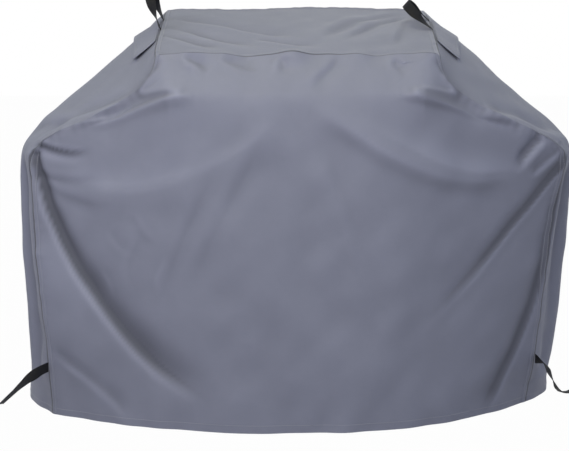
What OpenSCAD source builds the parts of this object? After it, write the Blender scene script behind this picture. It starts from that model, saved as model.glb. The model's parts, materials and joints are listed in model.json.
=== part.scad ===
// Fitted cover for a free-standing gas grill with two side shelves.
// It is sewn from five coated-polyester panels and hangs open at the bottom.
// X runs across the grill, Y from its front to its back, and Z up from the hem.

/* [Cover] */
// Width across the side shelves
cover_w = 1416; // [1340:4:1500]
// Depth from front to back, measured at the hem
cover_d = 576; // [540:4:620]
// Width of the roof over the hood
roof_w = 686; // [640:2:730]
// Height of the roof's back edge above the hem
roof_back_h = 1012; // [980:2:1060]
// Height of the roof's front edge above the hem
roof_front_h = 908; // [890:2:930]
// Height of the side shelves' corners above the hem
shelf_h = 672; // [640:2:700]
// Height at which the front turns from the upright wall towards the hood
brow_h = 770; // [740:2:800]

/* [Drape] */
// How far the front corner seams are drawn in at the hem
hem_tuck = 88; // [60:2:110]
// How far the corner seams are drawn in at the shelves
shelf_tuck = 44; // [30:2:60]
// How much farther back the right front corner seam lies than the left one, at the hem
hem_twist = 100; // [0:5:120]
// How much more the right side is drawn in at the hem than the left one
right_tuck = 28; // [0:2:40]
// How far the middle of the front stands ahead of its corner seams
front_bulge = 163; // [130:1:190]
// How far the middle of the back stands behind its corner seams
back_bulge = 46; // [30:1:60]
// Distance from the hem's front to the roof's front edge
roof_setback = 98; // [80:1:120]
// Distance from the hem's back to the roof's back edge
roof_back_setback = 43; // [30:1:60]
// How much the middle of the roof's edges stands above its corners
roof_crown = 8; // [4:1:14]
// How far the middle of the roof's back edge stands behind its corners
roof_back_bulge = 12; // [6:1:20]
// How far the middle of the roof's side edges stands outside its corners
roof_side_bulge = 2; // [0:1:4]
// How far the front wall and the back corner seams lean between the hem and the shelves
wall_lean = 6; // [0:1:12]
// How much lower the fold over a shelf's end lies than the shelf's front corner
side_fold_drop = 27; // [10:1:40]
// How much higher a shelf's back corner lies than its front corner
back_corner_rise = 13; // [0:1:25]
// Height at which the back turns towards the roof
back_fold_h = 808; // [760:2:860]

/* [Fabric] */
// Thickness of the coated fabric
fabric_t = 1; // [0.8:0.1:1.4]
// Height of the turned hem
hem_w = 20; // [15:1:30]
// Thickness of the hem's inner fold
hem_t = 1.2; // [0.8:0.1:2]
// Width of the seam tape on each side of a seam
seam_w = 14; // [10:1:20]
// Thickness of the seam tape
tape_t = 0.4; // [0.3:0.1:0.8]
// Thickness of the glue under the tape
glue_t = 0.1; // [0.05:0.05:0.2]

/* [Vents] */
// Length of a vent opening from front to back
vent_l = 150; // [120:2:170]
// Height of a vent opening down the slope
vent_w = 46; // [36:1:56]
// Distance of the vents behind the roof's front edge, to their middle
vent_back = 230; // [215:1:245]
// How far the mesh reaches past the opening
mesh_margin = 14; // [10:1:18]
// Thickness of the vent mesh
mesh_t = 0.6; // [0.4:0.1:1]
// How far the flap reaches past the opening, on each side and below
flap_margin = 22; // [16:1:26]
// How far the flap's free edge stands off the side panel
flap_lift = 15; // [10:1:20]
// Gap under the flap where it is sewn on
flap_gap = 0.8; // [0.6:0.1:1.5]
// Width of the stiffener in the flap's free edge
stiffener_w = 12; // [8:1:16]
// Thickness of the stiffener
stiffener_t = 1.6; // [1:0.2:2.4]

/* [Webbing] */
// Width of the webbing
webbing_w = 25; // [20:1:30]
// Thickness of the webbing
webbing_t = 1.8; // [1.2:0.1:2.4]
// Distance between the two ends of a handle, along the roof's seam
handle_span = 96; // [84:2:110]
// Height of a handle above the seam
handle_h = 84; // [70:1:100]
// Distance of the handles behind the roof's front edge, to their middle
handle_back = 272; // [255:1:290]
// How far the left handle leans out from upright
left_handle_lean = 20; // [-60:5:40]
// How far the right handle leans out, or in if it is negative
right_handle_lean = -50; // [-60:5:40]
// Length of a leg strap
strap_l = 175; // [150:1:190]
// Height of the straps' sewn ends above the hem
strap_h = 122; // [105:1:140]
// Length of the hook or loop tape on a strap
hook_l = 60; // [45:1:75]
// Thickness of the hook or loop tape
hook_t = 1.4; // [1:0.1:2]
// Gap between a handle's sewn ends and the roof's seam
root_gap = 0.7; // [0.6:0.1:0.8]
// Gap between a leg strap's sewn end and its corner seam
strap_gap = 0.3; // [0.3:0.1:0.5]
// How far a leg strap's sewn end reaches behind the line that it swings about
strap_heel = 0.6; // [0.4:0.1:0.7]

/* [Hidden] */

fabric_colour = [0.42, 0.43, 0.49];
lining_colour = [0.30, 0.31, 0.35];
tape_colour = [0.55, 0.56, 0.58];
webbing_colour = [0.05, 0.05, 0.06];

half_w = cover_w / 2;
front_y = -cover_d / 2;
back_y = cover_d / 2;
front_corner_y = front_y + front_bulge;
back_corner_y = back_y - back_bulge;
roof_front_y = front_y + roof_setback;
roof_back_y = back_y - roof_back_setback;
roof_mid_y = (roof_front_y + roof_back_y) / 2;
roof_mid_h = (roof_front_h + roof_back_h) / 2 + roof_crown / 4;
side_mid_y = front_corner_y + (back_corner_y - front_corner_y) / 2;

// A height on the cover is a number from 0 at the hem through 1 at the shelves to 2 at the roof.
slope_l = norm([half_w - roof_w / 2, roof_mid_h - shelf_h]);
hem_level = hem_w / shelf_h;
seam_level = 2 - seam_w / slope_l;
vent_level = seam_level - vent_w / slope_l;
mesh_level = vent_level - mesh_margin / slope_l;
levels = [0, hem_level, 0.25, 0.5, 0.75, 1, 1.12, 1.25, 1.45, 1.65, mesh_level, vent_level, seam_level, 2];
last_row = len(levels) - 1;
seam_row = last_row - 1;
vent_row = last_row - 2;
mesh_row = last_row - 3;
front_cells = 14;

// How each edge of the slope runs from the shelves (0) to the roof (1): inwards, forwards and up.
front_seam_in = [[0, 0], [0.2, 0.2], [0.5, 0.53], [0.7, 0.8], [0.85, 0.96], [1, 1]];
front_seam_fore = [[0, 0], [0.2, 0.35], [0.5, 0.8], [0.7, 1.05], [1, 1]];
front_seam_up = [[0, 0], [0.2, 0.19], [0.5, 0.37], [0.7, 0.57], [0.85, 0.78], [1, 1]];
brow_up = [[0, 0], [0.2, 0.39], [0.5, 0.61], [0.7, 0.76], [1, 1]];
side_in = [[0, 0], [0.12, 0.04], [0.25, 0.18], [1, 1]];
side_up = [[0, 0], [0.12, 0.14], [0.25, 0.27], [1, 1]];

function mix(a, b, f) = a + (b - a) * f;
function unit(v) = v / norm(v);
function mirrored(p) = [-p.x, p.y, p.z];

// The seams and middles are the same on both sides, apart from how the right side's lower corner has turned.
// Their x counts outwards from the middle of the cover, and side is 1 on the right and -1 on the left.
function turned(t, side) = side > 0 ? max(0, 1 - t) : 0;

function front_seam(t, side) =
    let (f = t - 1, turn = turned(t, side))
    t <= 1
        ? [half_w - mix(hem_tuck, shelf_tuck, t) - right_tuck / 2 * turn, front_corner_y + hem_twist * turn, shelf_h * t]
        : [mix(half_w - shelf_tuck, roof_w / 2, lookup(f, front_seam_in)),
           mix(front_corner_y, roof_front_y, lookup(f, front_seam_fore)),
           mix(shelf_h, roof_front_h, lookup(f, front_seam_up))];

function front_middle(t) =
    let (f = t - 1)
    t <= 1
        ? [0, front_y + wall_lean * t, brow_h * t]
        : [0, mix(front_y + wall_lean, roof_front_y, f), mix(brow_h, roof_front_h + roof_crown, lookup(f, brow_up))];

function side_middle(t, side) =
    let (f = t - 1, edge_h = shelf_h - side_fold_drop, turn = turned(t, side))
    t <= 1
        ? [half_w - right_tuck * turn, side_mid_y + hem_twist / 2 * turn, edge_h * t]
        : [mix(half_w, roof_w / 2 + roof_side_bulge, lookup(f, side_in)),
           mix(side_mid_y, roof_mid_y, f),
           mix(edge_h, roof_mid_h, lookup(f, side_up))];

function back_seam(t) =
    let (f = t - 1, edge_h = shelf_h + back_corner_rise)
    t <= 1
        ? [half_w - shelf_tuck - wall_lean * (1 - t), back_corner_y, edge_h * t]
        : [mix(half_w - shelf_tuck, roof_w / 2, lookup(f, side_in)),
           mix(back_corner_y, roof_back_y, f),
           mix(edge_h, roof_back_h - roof_crown, lookup(f, side_up))];

function back_middle(t) =
    let (f = t - 1)
    t <= 1
        ? [0, back_y, back_fold_h * t]
        : [0, mix(back_y, roof_back_y + roof_back_bulge, f), mix(back_fold_h, roof_back_h, f)];

// A row of a panel is an arch from one corner seam to the other.
function arch(seam, middle, u) = [seam.x * u, mix(seam.y, middle.y, 1 - u * u), mix(seam.z, middle.z, 1 - u * u)];
function front_point(u, t) = arch(front_seam(t, sign(u)), front_middle(t), u);
function back_point(u, t) = arch(back_seam(t), back_middle(t), u);
function side_point(v, t, side = 1) =
    front_seam(t, side) * (1 - v) * (1 - 2 * v) + side_middle(t, side) * 4 * v * (1 - v) + back_seam(t) * v * (2 * v - 1);
function roof_point(u, v) =
    let (edge = side_point(v, 2), rise = mix(front_middle(2) - front_seam(2, 1), back_middle(2) - back_seam(2), v))
    [edge.x * u, edge.y + rise.y * (1 - u * u), edge.z + rise.z * (1 - u * u)];

tape_from = fabric_t + glue_t;

// The direction into the cover, shared by every piece at a point so that neighbours meet face to face.
core_h = shelf_h * 0.9;
core_y = 20;
core_r = 480;
core_depth = 330;
function inward(p) = unit([
    -p.x / (half_w * half_w),
    -(p.y - core_y) / (core_depth * core_depth),
    -max(0, p.z - core_h) / (core_r * core_r)
]);

// Stations across a panel, with a first and last cell as wide as the seam tape.
function stations(cells, edge) = [for (j = [0 : cells]) j == 0 ? 0 : j == cells ? 1 : mix(edge, 1 - edge, (j - 1) / (cells - 2))];
function across(seam) = [for (s = stations(front_cells, seam_w / (2 * seam.x))) 2 * s - 1];
function roof_share(y) = (y - roof_front_y) / (roof_back_y - roof_front_y);
vent_from = roof_share(roof_front_y + vent_back - vent_l / 2);
vent_to = roof_share(roof_front_y + vent_back + vent_l / 2);
function along(t) =
    let (e = seam_w / (back_seam(t).y - front_seam(t, 1).y), m = mesh_margin / (roof_back_y - roof_front_y))
    [0, e, vent_from * 0.5, vent_from - m, vent_from, (vent_from + vent_to) / 2,
     vent_to, vent_to + m, mix(vent_to, 1, 0.5), 1 - e, 1];
side_cells = 10;

front_grid = [for (t = levels) [for (u = across(front_seam(t, 1))) front_point(u, t)]];
back_grid = [for (t = levels) [for (u = across(back_seam(t))) back_point(u, t)]];
right_grid = [for (t = levels) [for (v = along(t)) side_point(v, t)]];
left_grid = [for (t = levels) [for (v = along(t)) mirrored(side_point(v, t, -1))]];
roof_grid = [for (v = along(2)) [for (u = across(front_seam(2, 1))) roof_point(u, v)]];

function part_of(grid, r0, r1, c0, c1) = [for (i = [r0 : r1]) [for (j = [c0 : c1]) grid[i][j]]];
function column(grid, c, r0, r1) = [for (i = [r0 : r1]) grid[i][c]];
function flipped(grid) = [for (row = grid) [for (j = [len(row) - 1 : -1 : 0]) row[j]]];

// A sheet over a grid of points, from depth t0 to depth t1 inside it, with a hole of whole cells if one is given.
module sheet(grid, t0, t1, hole = [0, 0, 0, 0]) {
    rows = len(grid);
    cols = len(grid[0]);
    outer = [for (row = grid) for (p = row) p + inward(p) * t0];
    inner = [for (row = grid) for (p = row) p + inward(p) * t1];
    slab(rows, cols, outer, inner, hole);
}

// A closed solid between two layers of rows x cols points.
module slab(rows, cols, outer, inner, hole = [0, 0, 0, 0]) {
    n = rows * cols;
    function kept(i, j) =
        i >= 0 && j >= 0 && i < rows - 1 && j < cols - 1
        && !(i >= hole[0] && i < hole[1] && j >= hole[2] && j < hole[3]);
    function id(i, j) = i * cols + j;
    // Two neighbours split the wall that they share along the same diagonal, from the point of higher rank.
    function rank(p) = p * [1, 3, 7];
    function wall(a, b) = rank(outer[a]) > rank(outer[b])
        ? [[a, b, b + n], [a, b + n, a + n]]
        : [[a, b, a + n], [b, b + n, a + n]];
    faces = [
        for (i = [0 : rows - 2]) for (j = [0 : cols - 2]) if (kept(i, j)) each [
            [id(i, j), id(i + 1, j), id(i + 1, j + 1)],
            [id(i, j), id(i + 1, j + 1), id(i, j + 1)],
            [id(i, j) + n, id(i + 1, j + 1) + n, id(i + 1, j) + n],
            [id(i, j) + n, id(i, j + 1) + n, id(i + 1, j + 1) + n],
            each kept(i - 1, j) ? [] : wall(id(i, j), id(i, j + 1)),
            each kept(i + 1, j) ? [] : wall(id(i + 1, j + 1), id(i + 1, j)),
            each kept(i, j - 1) ? [] : wall(id(i + 1, j), id(i, j)),
            each kept(i, j + 1) ? [] : wall(id(i, j + 1), id(i + 1, j + 1))
        ]
    ];
    polyhedron(points = concat(outer, inner), faces = faces, convexity = 8);
}

module front_panel() color(fabric_colour) sheet(front_grid, 0, fabric_t);
module back_panel() color(fabric_colour) sheet(flipped(back_grid), 0, fabric_t);
module roof_panel() color(fabric_colour) sheet(roof_grid, 0, fabric_t);
vent_hole = [vent_row, seam_row, 4, 6];
module right_side_panel() color(fabric_colour) sheet(right_grid, 0, fabric_t, vent_hole);
module left_side_panel() color(fabric_colour) sheet(flipped(left_grid), 0, fabric_t, vent_hole);

// The hem is the panel's lower edge turned up inside.
module hem(grid) color(lining_colour) sheet(part_of(grid, 0, 1, 0, len(grid[0]) - 1), fabric_t, fabric_t + hem_t);
module front_hem() hem(front_grid);
module back_hem() hem(flipped(back_grid));
module right_hem() hem(right_grid);
module left_hem() hem(flipped(left_grid));

// Tape over a corner seam, from the hem's top to the roof, bent round the corner.
module corner_tape(first, second) color(tape_colour)
    sheet([for (i = [0 : len(first) - 1]) [first[i][0], first[i][1], second[i]]], tape_from, tape_from + tape_t);
function seam_pairs(grid, c_edge, c_in) = [for (i = [1 : last_row]) [grid[i][c_in], grid[i][c_edge]]];
module front_right_seam_tape()
    corner_tape(seam_pairs(front_grid, front_cells, front_cells - 1), column(right_grid, 1, 1, last_row));
module front_left_seam_tape()
    corner_tape(seam_pairs(left_grid, 0, 1), column(front_grid, 1, 1, last_row));
module back_right_seam_tape()
    corner_tape(seam_pairs(right_grid, side_cells, side_cells - 1), column(back_grid, front_cells - 1, 1, last_row));
module back_left_seam_tape()
    corner_tape(seam_pairs(back_grid, 0, 1), column(left_grid, side_cells - 1, 1, last_row));

// Tape over an edge of the roof, between the corner tapes.
function inner_part(row) = [for (j = [1 : len(row) - 2]) row[j]];
module roof_tape(wall_row, edge_row, roof_row) color(tape_colour)
    sheet([inner_part(wall_row), inner_part(edge_row), inner_part(roof_row)], tape_from, tape_from + tape_t);
module roof_front_seam_tape() roof_tape(front_grid[seam_row], front_grid[last_row], roof_grid[1]);
module roof_back_seam_tape()
    mirror_rows(back_grid[seam_row], back_grid[last_row], roof_grid[side_cells - 1]);
module mirror_rows(wall_row, edge_row, roof_row) color(tape_colour)
    sheet([inner_part(roof_row), inner_part(edge_row), inner_part(wall_row)], tape_from, tape_from + tape_t);
module roof_right_seam_tape()
    roof_tape(right_grid[seam_row], right_grid[last_row], [for (row = roof_grid) row[front_cells - 1]]);
module roof_left_seam_tape()
    mirror_rows(left_grid[seam_row], left_grid[last_row], [for (row = roof_grid) row[1]]);

// The mesh lies inside the opening, and overlaps the panel below it and at its ends.
module vent_mesh(grid) color(webbing_colour)
    sheet(part_of(grid, mesh_row, seam_row, 3, 7), fabric_t, fabric_t + mesh_t);
module right_vent_mesh() vent_mesh(right_grid);
module left_vent_mesh() vent_mesh(flipped(left_grid));

// The flap hangs over the opening from just under the roof's seam, and stands off at its free edge.
flap_from = roof_share(roof_front_y + vent_back - vent_l / 2 - flap_margin);
flap_to = roof_share(roof_front_y + vent_back + vent_l / 2 + flap_margin);
flap_top = 2 - seam_w / 2 / slope_l;
flap_low = vent_level - flap_margin / slope_l;
flap_rows = 5;
flap_cols = 8;
// Each row runs straight between its ends, and clears the side panel where that bulges most.
flap_mid = (flap_from + flap_to) / 2;
function flap_chord(f, t) = mix(side_point(flap_from, t), side_point(flap_to, t), f);
flap_out = -inward(side_point(flap_mid, flap_top));
flap_clear = flap_gap + (side_point(flap_mid, flap_top) - flap_chord(0.5, flap_top)) * flap_out;
function flap_point(i, j, extra = 0) =
    let (s = i / flap_rows)
    flap_chord(j / flap_cols, mix(flap_top, flap_low, s)) + flap_out * (flap_clear + flap_lift * s + extra);
module flap_layer(r0, r1, c0, c1, low, high) {
    low_points = [for (i = [r0 : r1]) for (j = [c0 : c1]) flap_point(flap_row(i), j, low)];
    high_points = [for (i = [r0 : r1]) for (j = [c0 : c1]) flap_point(flap_row(i), j, high)];
    slab(r1 - r0 + 1, c1 - c0 + 1, low_points, high_points);
}
// The last row of cells is as wide as the stiffener.
flap_l = (flap_top - flap_low) * slope_l;
function flap_row(i) = i == flap_rows ? flap_rows : i * (flap_rows - flap_rows * stiffener_w / flap_l) / (flap_rows - 1);
module right_vent_flap() color(fabric_colour) flap_layer(0, flap_rows, 0, flap_cols, 0, fabric_t);
module left_vent_flap() mirror([1, 0, 0]) right_vent_flap();
module right_vent_stiffener() color(lining_colour)
    flap_layer(flap_rows - 1, flap_rows, 0, flap_cols, -stiffener_t, 0);
module left_vent_stiffener() mirror([1, 0, 0]) right_vent_stiffener();

// Webbing swept along points, each with the direction of its width; low and high are layers of its thickness.
module ribbon(points, sides, width, low, high) {
    n = len(points);
    function ahead(i) = unit(points[min(i + 1, n - 1)] - points[max(i - 1, 0)]);
    function across_at(i) = unit(cross(ahead(i), sides[i]));
    function place(i, s, h) = points[i] + sides[i] * (s * width / 2) + across_at(i) * h;
    slab(n, 2,
        [for (i = [0 : n - 1]) for (s = [-1, 1]) place(i, s, low)],
        [for (i = [0 : n - 1]) for (s = [-1, 1]) place(i, s, high)]);
}

// A handle is an arch of webbing on the roof's side seam, with its ends sewn in flat along the seam.
// It leans about the seam: outwards if the angle is positive.
handle_steps = 20;
function on_roof_seam(y) = side_point(roof_share(y), 2);
handle_y = roof_front_y + handle_back;
handle_from = on_roof_seam(handle_y - handle_span / 2);
handle_to = on_roof_seam(handle_y + handle_span / 2);
handle_along = unit(handle_to - handle_from);
handle_up = unit(cross([1, 0, 0], handle_along));
handle_outward = cross(handle_along, handle_up);
function handle_rise(lean) = handle_up * cos(lean) + handle_outward * sin(lean);
function handle_width(lean) = cross(handle_along, handle_rise(lean));
function handle_foot(lean) =
    (handle_from + handle_to) / 2 + handle_up * (root_gap + webbing_t / 2 * sin(abs(lean)));
function handle_angle(i) = 180 * i / handle_steps;
function handle_point(i, lean) =
    let (a = handle_angle(i))
    handle_foot(lean) - handle_along * (handle_span / 2 * cos(a)) + handle_rise(lean) * (handle_h * pow(sin(a), 0.8));
function handle_turn(i) =
    let (a = min(handle_angle(i), 180 - handle_angle(i)), s = min(1, a / 60))
    90 * s * s * (3 - 2 * s);
function handle_out(i, lean) =
    let (ahead = handle_point(min(i + 1, handle_steps), lean) - handle_point(max(i - 1, 0), lean))
    i == 0 ? -handle_along : i == handle_steps ? handle_along : unit(cross(ahead, handle_width(lean)));
function handle_side(i, lean) =
    handle_out(i, lean) * cos(handle_turn(i)) + handle_width(lean) * sin(handle_turn(i));
module handle(lean) color(webbing_colour) ribbon(
    [for (i = [0 : handle_steps]) handle_point(i, lean)],
    [for (i = [0 : handle_steps]) handle_side(i, lean)],
    webbing_w, -webbing_t / 2, webbing_t / 2);
module right_handle() handle(right_handle_lean);
module left_handle() mirror([1, 0, 0]) handle(left_handle_lean);

// A leg strap leaves its corner seam and falls as limp webbing does. Its headings and dips are in degrees.
strap_steps = 14;
hook_steps = round(strap_steps * hook_l / strap_l);
function strap_dir(heading, dip) = [cos(heading) * cos(dip), sin(heading) * cos(dip), -sin(dip)];
function strap_point(root, fall, i) = i == 0 ? root :
    let (s = (i - 0.5) / strap_steps)
    strap_point(root, fall, i - 1)
        + strap_dir(lookup(s, fall[0]), lookup(s, fall[1])) * (strap_l / strap_steps);
function strap_side(fall, i) =
    let (
        s = i / strap_steps,
        d = strap_dir(lookup(s, fall[0]), lookup(s, fall[1])),
        level = unit(cross(d, [0, 0, 1])),
        rise = unit(cross(level, d)),
        turn = lookup(s, fall[2])
    )
    rise * cos(turn) + level * sin(turn);
// The root stands upright and clears its seam, which may lean, from the strap's lower edge to its upper one.
function strap_root(low, high) =
    let (seam = (low + high) / 2, lean = norm([high.x - low.x, high.y - low.y]) / 2)
    seam - inward(seam) * (strap_gap + webbing_t / 2 + lean);
module strap(root, fall, last_only = false) {
    from = last_only ? strap_steps - hook_steps : 0;
    heel = strap_dir(fall[0][0][1], fall[1][0][1]) * strap_heel;
    points = [for (i = [from : strap_steps]) strap_point(root, fall, i) - (i == 0 ? heel : [0, 0, 0])];
    sides = [for (i = [from : strap_steps]) strap_side(fall, i)];
    low = last_only ? webbing_t / 2 : -webbing_t / 2;
    ribbon(points, sides, webbing_w, low, last_only ? low + hook_t : webbing_t / 2);
}
// Each fall lists the strap's heading, its dip and the turn of its width, from its sewn end (0) to its tip (1).
stray_fall = [
    [[0, -120], [0.3, -123], [1, -131]],
    [[0, 0], [0.25, 12], [0.5, 22], [1, 28]],
    [[0, 0], [0.2, 10], [0.5, 84], [0.7, 104], [1, 110]]
];
hanging_fall = [
    [[0, -50], [0.3, -40], [0.6, 20], [1, 60]],
    [[0, 0], [0.1, 12], [0.25, 58], [0.55, 66], [0.72, 14], [1, 2]],
    [[0, 0], [0.12, 50], [0.3, 84], [1, 88]]
];
back_fall = [
    [[0, 100], [0.2, 150], [0.6, 172], [1, 180]],
    [[0, 0], [0.08, 40], [0.2, 74], [0.62, 80], [0.74, 24], [1, 2]],
    [[0, 0], [0.12, 50], [0.3, 84], [1, 88]]
];
strap_low = (strap_h - webbing_w / 2) / shelf_h;
strap_high = (strap_h + webbing_w / 2) / shelf_h;
front_right_root = strap_root(front_seam(strap_low, 1), front_seam(strap_high, 1));
front_left_root = mirrored(strap_root(front_seam(strap_low, -1), front_seam(strap_high, -1)));
back_right_root = strap_root(back_seam(strap_low), back_seam(strap_high));

module front_left_strap() color(webbing_colour) strap(front_left_root, stray_fall);
module front_left_hook_tape() color(lining_colour) strap(front_left_root, stray_fall, true);
module front_right_strap() color(webbing_colour) strap(front_right_root, hanging_fall);
module front_right_hook_tape() color(lining_colour) strap(front_right_root, hanging_fall, true);
module back_right_strap() color(webbing_colour) strap(back_right_root, back_fall);
module back_right_loop_tape() color(lining_colour) strap(back_right_root, back_fall, true);
module back_left_strap() mirror([1, 0, 0]) back_right_strap();
module back_left_loop_tape() mirror([1, 0, 0]) back_right_loop_tape();

front_panel();
back_panel();
roof_panel();
left_side_panel();
right_side_panel();
front_hem();
back_hem();
left_hem();
right_hem();
front_left_seam_tape();
front_right_seam_tape();
back_left_seam_tape();
back_right_seam_tape();
roof_front_seam_tape();
roof_back_seam_tape();
roof_left_seam_tape();
roof_right_seam_tape();
left_vent_mesh();
right_vent_mesh();
left_vent_flap();
right_vent_flap();
left_vent_stiffener();
right_vent_stiffener();
left_handle();
right_handle();
front_left_strap();
front_right_strap();
back_left_strap();
back_right_strap();
front_left_hook_tape();
front_right_hook_tape();
back_left_loop_tape();
back_right_loop_tape();
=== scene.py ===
# A grill cover: coated polyester panels over two side shelves, with webbing handles, straps and side vents.
import json
import math
import bpy
import numpy as np
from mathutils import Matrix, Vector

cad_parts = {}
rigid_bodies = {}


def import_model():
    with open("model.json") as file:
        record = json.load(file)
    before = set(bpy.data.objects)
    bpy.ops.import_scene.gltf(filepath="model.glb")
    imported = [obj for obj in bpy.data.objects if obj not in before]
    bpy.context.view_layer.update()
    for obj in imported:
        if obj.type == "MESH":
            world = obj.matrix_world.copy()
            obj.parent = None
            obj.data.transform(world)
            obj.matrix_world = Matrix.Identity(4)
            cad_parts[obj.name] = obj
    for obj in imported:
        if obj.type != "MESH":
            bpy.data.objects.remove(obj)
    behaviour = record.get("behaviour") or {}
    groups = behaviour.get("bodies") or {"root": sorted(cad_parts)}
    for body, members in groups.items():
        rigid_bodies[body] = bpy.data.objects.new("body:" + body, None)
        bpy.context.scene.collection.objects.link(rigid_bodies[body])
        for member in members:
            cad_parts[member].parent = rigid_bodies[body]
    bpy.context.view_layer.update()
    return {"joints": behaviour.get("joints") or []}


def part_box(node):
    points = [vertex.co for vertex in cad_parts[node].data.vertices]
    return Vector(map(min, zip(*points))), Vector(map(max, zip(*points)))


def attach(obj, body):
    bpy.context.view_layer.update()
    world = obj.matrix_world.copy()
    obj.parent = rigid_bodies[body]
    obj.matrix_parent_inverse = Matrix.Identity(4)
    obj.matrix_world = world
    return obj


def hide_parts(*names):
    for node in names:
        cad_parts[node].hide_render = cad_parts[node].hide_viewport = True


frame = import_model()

hangPoints = {joint["child"]: np.array(joint["pos_m"]) for joint in frame["joints"]}


def mix(a, b, share):
    return a + (b - a) * share


def smoothStep(low, high, x):
    share = np.clip((x - low) / (high - low), 0, 1)
    return share * share * (3 - 2 * share)


def smoothLine(x, knots):
    # a smooth curve through the knots, each an (x, y) pair
    xs, ys = np.array(knots, float).T
    slopes = np.diff(ys) / np.diff(xs)
    tangents = np.concatenate([slopes[:1], (slopes[1:] + slopes[:-1]) / 2, slopes[-1:]])
    i = np.clip(np.searchsorted(xs, x) - 1, 0, len(xs) - 2)
    gap = xs[i + 1] - xs[i]
    s = np.clip((x - xs[i]) / gap, 0, 1)
    rise = s * s * (3 - 2 * s)
    leave = s * (1 - s) ** 2
    arrive = s * s * (s - 1)
    return mix(ys[i], ys[i + 1], rise) + gap * (leave * tangents[i] + arrive * tangents[i + 1])


def place(x, y, z):
    return np.stack(np.broadcast_arrays(x, y, z), -1)


def unit(v):
    return v / np.maximum(np.linalg.norm(v, axis=-1, keepdims=True), 1e-9)


def lengthsAlong(points):
    steps = np.linalg.norm(np.diff(points, axis=0), axis=-1)
    return np.concatenate([np.zeros((1,) + steps.shape[1:]), np.cumsum(steps, axis=0)])


frontBox, backBox, roofBox, rightBox = [
    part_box(node) for node in ("front_panel", "back_panel", "roof_panel", "right_side_panel")
]
cover = {
    "halfWidth": rightBox[1][0],
    "frontY": frontBox[0][1],
    "backY": backBox[1][1],
    "roofHalf": roofBox[1][0] - 0.002,      # less the bulge of the roof's sides
    "roofFrontY": roofBox[0][1],
    "roofBackY": roofBox[1][1] - 0.012,     # and that of its back edge
    "sideBulge": 0.002,
    "backBulge": 0.012,
    "roofBackHigh": backBox[1][2],
    "roofFrontHigh": frontBox[1][2] - 0.008,
    "crown": 0.008,
    "shelfHigh": 0.672,
    "foldDrop": 0.027,                      # the side shelf's edge lies lower than its corner
    "browHigh": 0.825,                      # the front edge of the hood
    "browY": -0.264,
    "backFoldHigh": 0.808,
    "backCornerRise": 0.013,
    "frontCornerY": -0.125,
    "backCornerY": 0.242,
    "hemTuck": 0.088,
    "shelfTuck": 0.044,
    "backLean": 0.006,
    "rightTuck": 0.028,                     # the right lower corner has turned on the grill
    "hemTwist": 0.100,
    "hoodHalf": 0.25,                       # half the hood's flat front
    "hollow": 0.16,                         # how far the cloth sinks beside it
    "rows": 172,
    "columns": 214,
    "depthColumns": 66,
    "rounding": 2.2,                        # rows over which the folds at the shelves are rounded
    "browRounding": 5.0,
    "browSag": 0.013,
    "thick": 0.001,
}
core = {"high": 0.6048, "y": 0.020, "depth": 0.330, "up": 0.480}
slopeShape = {
    "cornerIn": [(0, 0), (.2, .2), (.5, .53), (.7, .8), (.85, .96), (1, 1)],
    "cornerFore": [(0, 0), (.2, .35), (.5, .8), (.7, 1.05), (1, 1)],
    "cornerUp": [(0, 0), (.2, .19), (.5, .37), (.7, .57), (.85, .78), (1, 1)],
    "sideIn": [(0, 0), (.12, .04), (.25, .18), (1, 1)],
    "sideUp": [(0, 0), (.12, .14), (.25, .27), (1, 1)],
}


# t runs from 0 at the hem through 1 at the shelves to 2 at the roof; x counts outwards
def halves(t):
    return np.minimum(t, 1), np.clip(np.asarray(t) - 1, 0, 1)


def climb(f, hang, low, high, curves):
    # the cloth hangs up to the shelves, and then climbs from low to high with its own curve in x, y and z
    slope = place(*(
        mix(start, end, smoothLine(f, slopeShape[curve]) if curve else f)
        for start, end, curve in zip(low, high, curves)
    ))
    return np.where(f[..., None] > 0, slope, hang)


def frontSeam(t, side):
    c = cover
    low, f = halves(t)
    turn = (1 - low) * (np.asarray(side) > 0)
    hang = place(
        c["halfWidth"] - mix(c["hemTuck"], c["shelfTuck"], low) - c["rightTuck"] / 2 * turn,
        c["frontCornerY"] + c["hemTwist"] * turn,
        c["shelfHigh"] * low,
    )
    corner = c["halfWidth"] - c["shelfTuck"], c["frontCornerY"], c["shelfHigh"]
    top = c["roofHalf"], c["roofFrontY"], c["roofFrontHigh"]
    return climb(f, hang, corner, top, ("cornerIn", "cornerFore", "cornerUp"))


def backSeam(t):
    c = cover
    low, f = halves(t)
    corner = c["halfWidth"] - c["shelfTuck"], c["backCornerY"], c["shelfHigh"] + c["backCornerRise"]
    hang = place(corner[0] - c["backLean"] * (1 - low), corner[1], corner[2] * low)
    top = c["roofHalf"], c["roofBackY"], c["roofBackHigh"] - c["crown"]
    return climb(f, hang, corner, top, ("sideIn", "sideIn", "sideUp"))


def frontMiddle(t):
    c = cover
    low, f = halves(t)
    hang = place(0.0, mix(c["frontY"], c["browY"], low ** 3), c["browHigh"] * low)
    brow = 0.0, c["browY"], c["browHigh"]
    return climb(f, hang, brow, (0.0, c["roofFrontY"], c["roofFrontHigh"] + c["crown"]), (None,) * 3)


def backMiddle(t):
    c = cover
    low, f = halves(t)
    hang = place(0.0, c["backY"], c["backFoldHigh"] * low)
    fold = 0.0, c["backY"], c["backFoldHigh"]
    return climb(f, hang, fold, (0.0, c["roofBackY"] + c["backBulge"], c["roofBackHigh"]), (None,) * 3)


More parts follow.
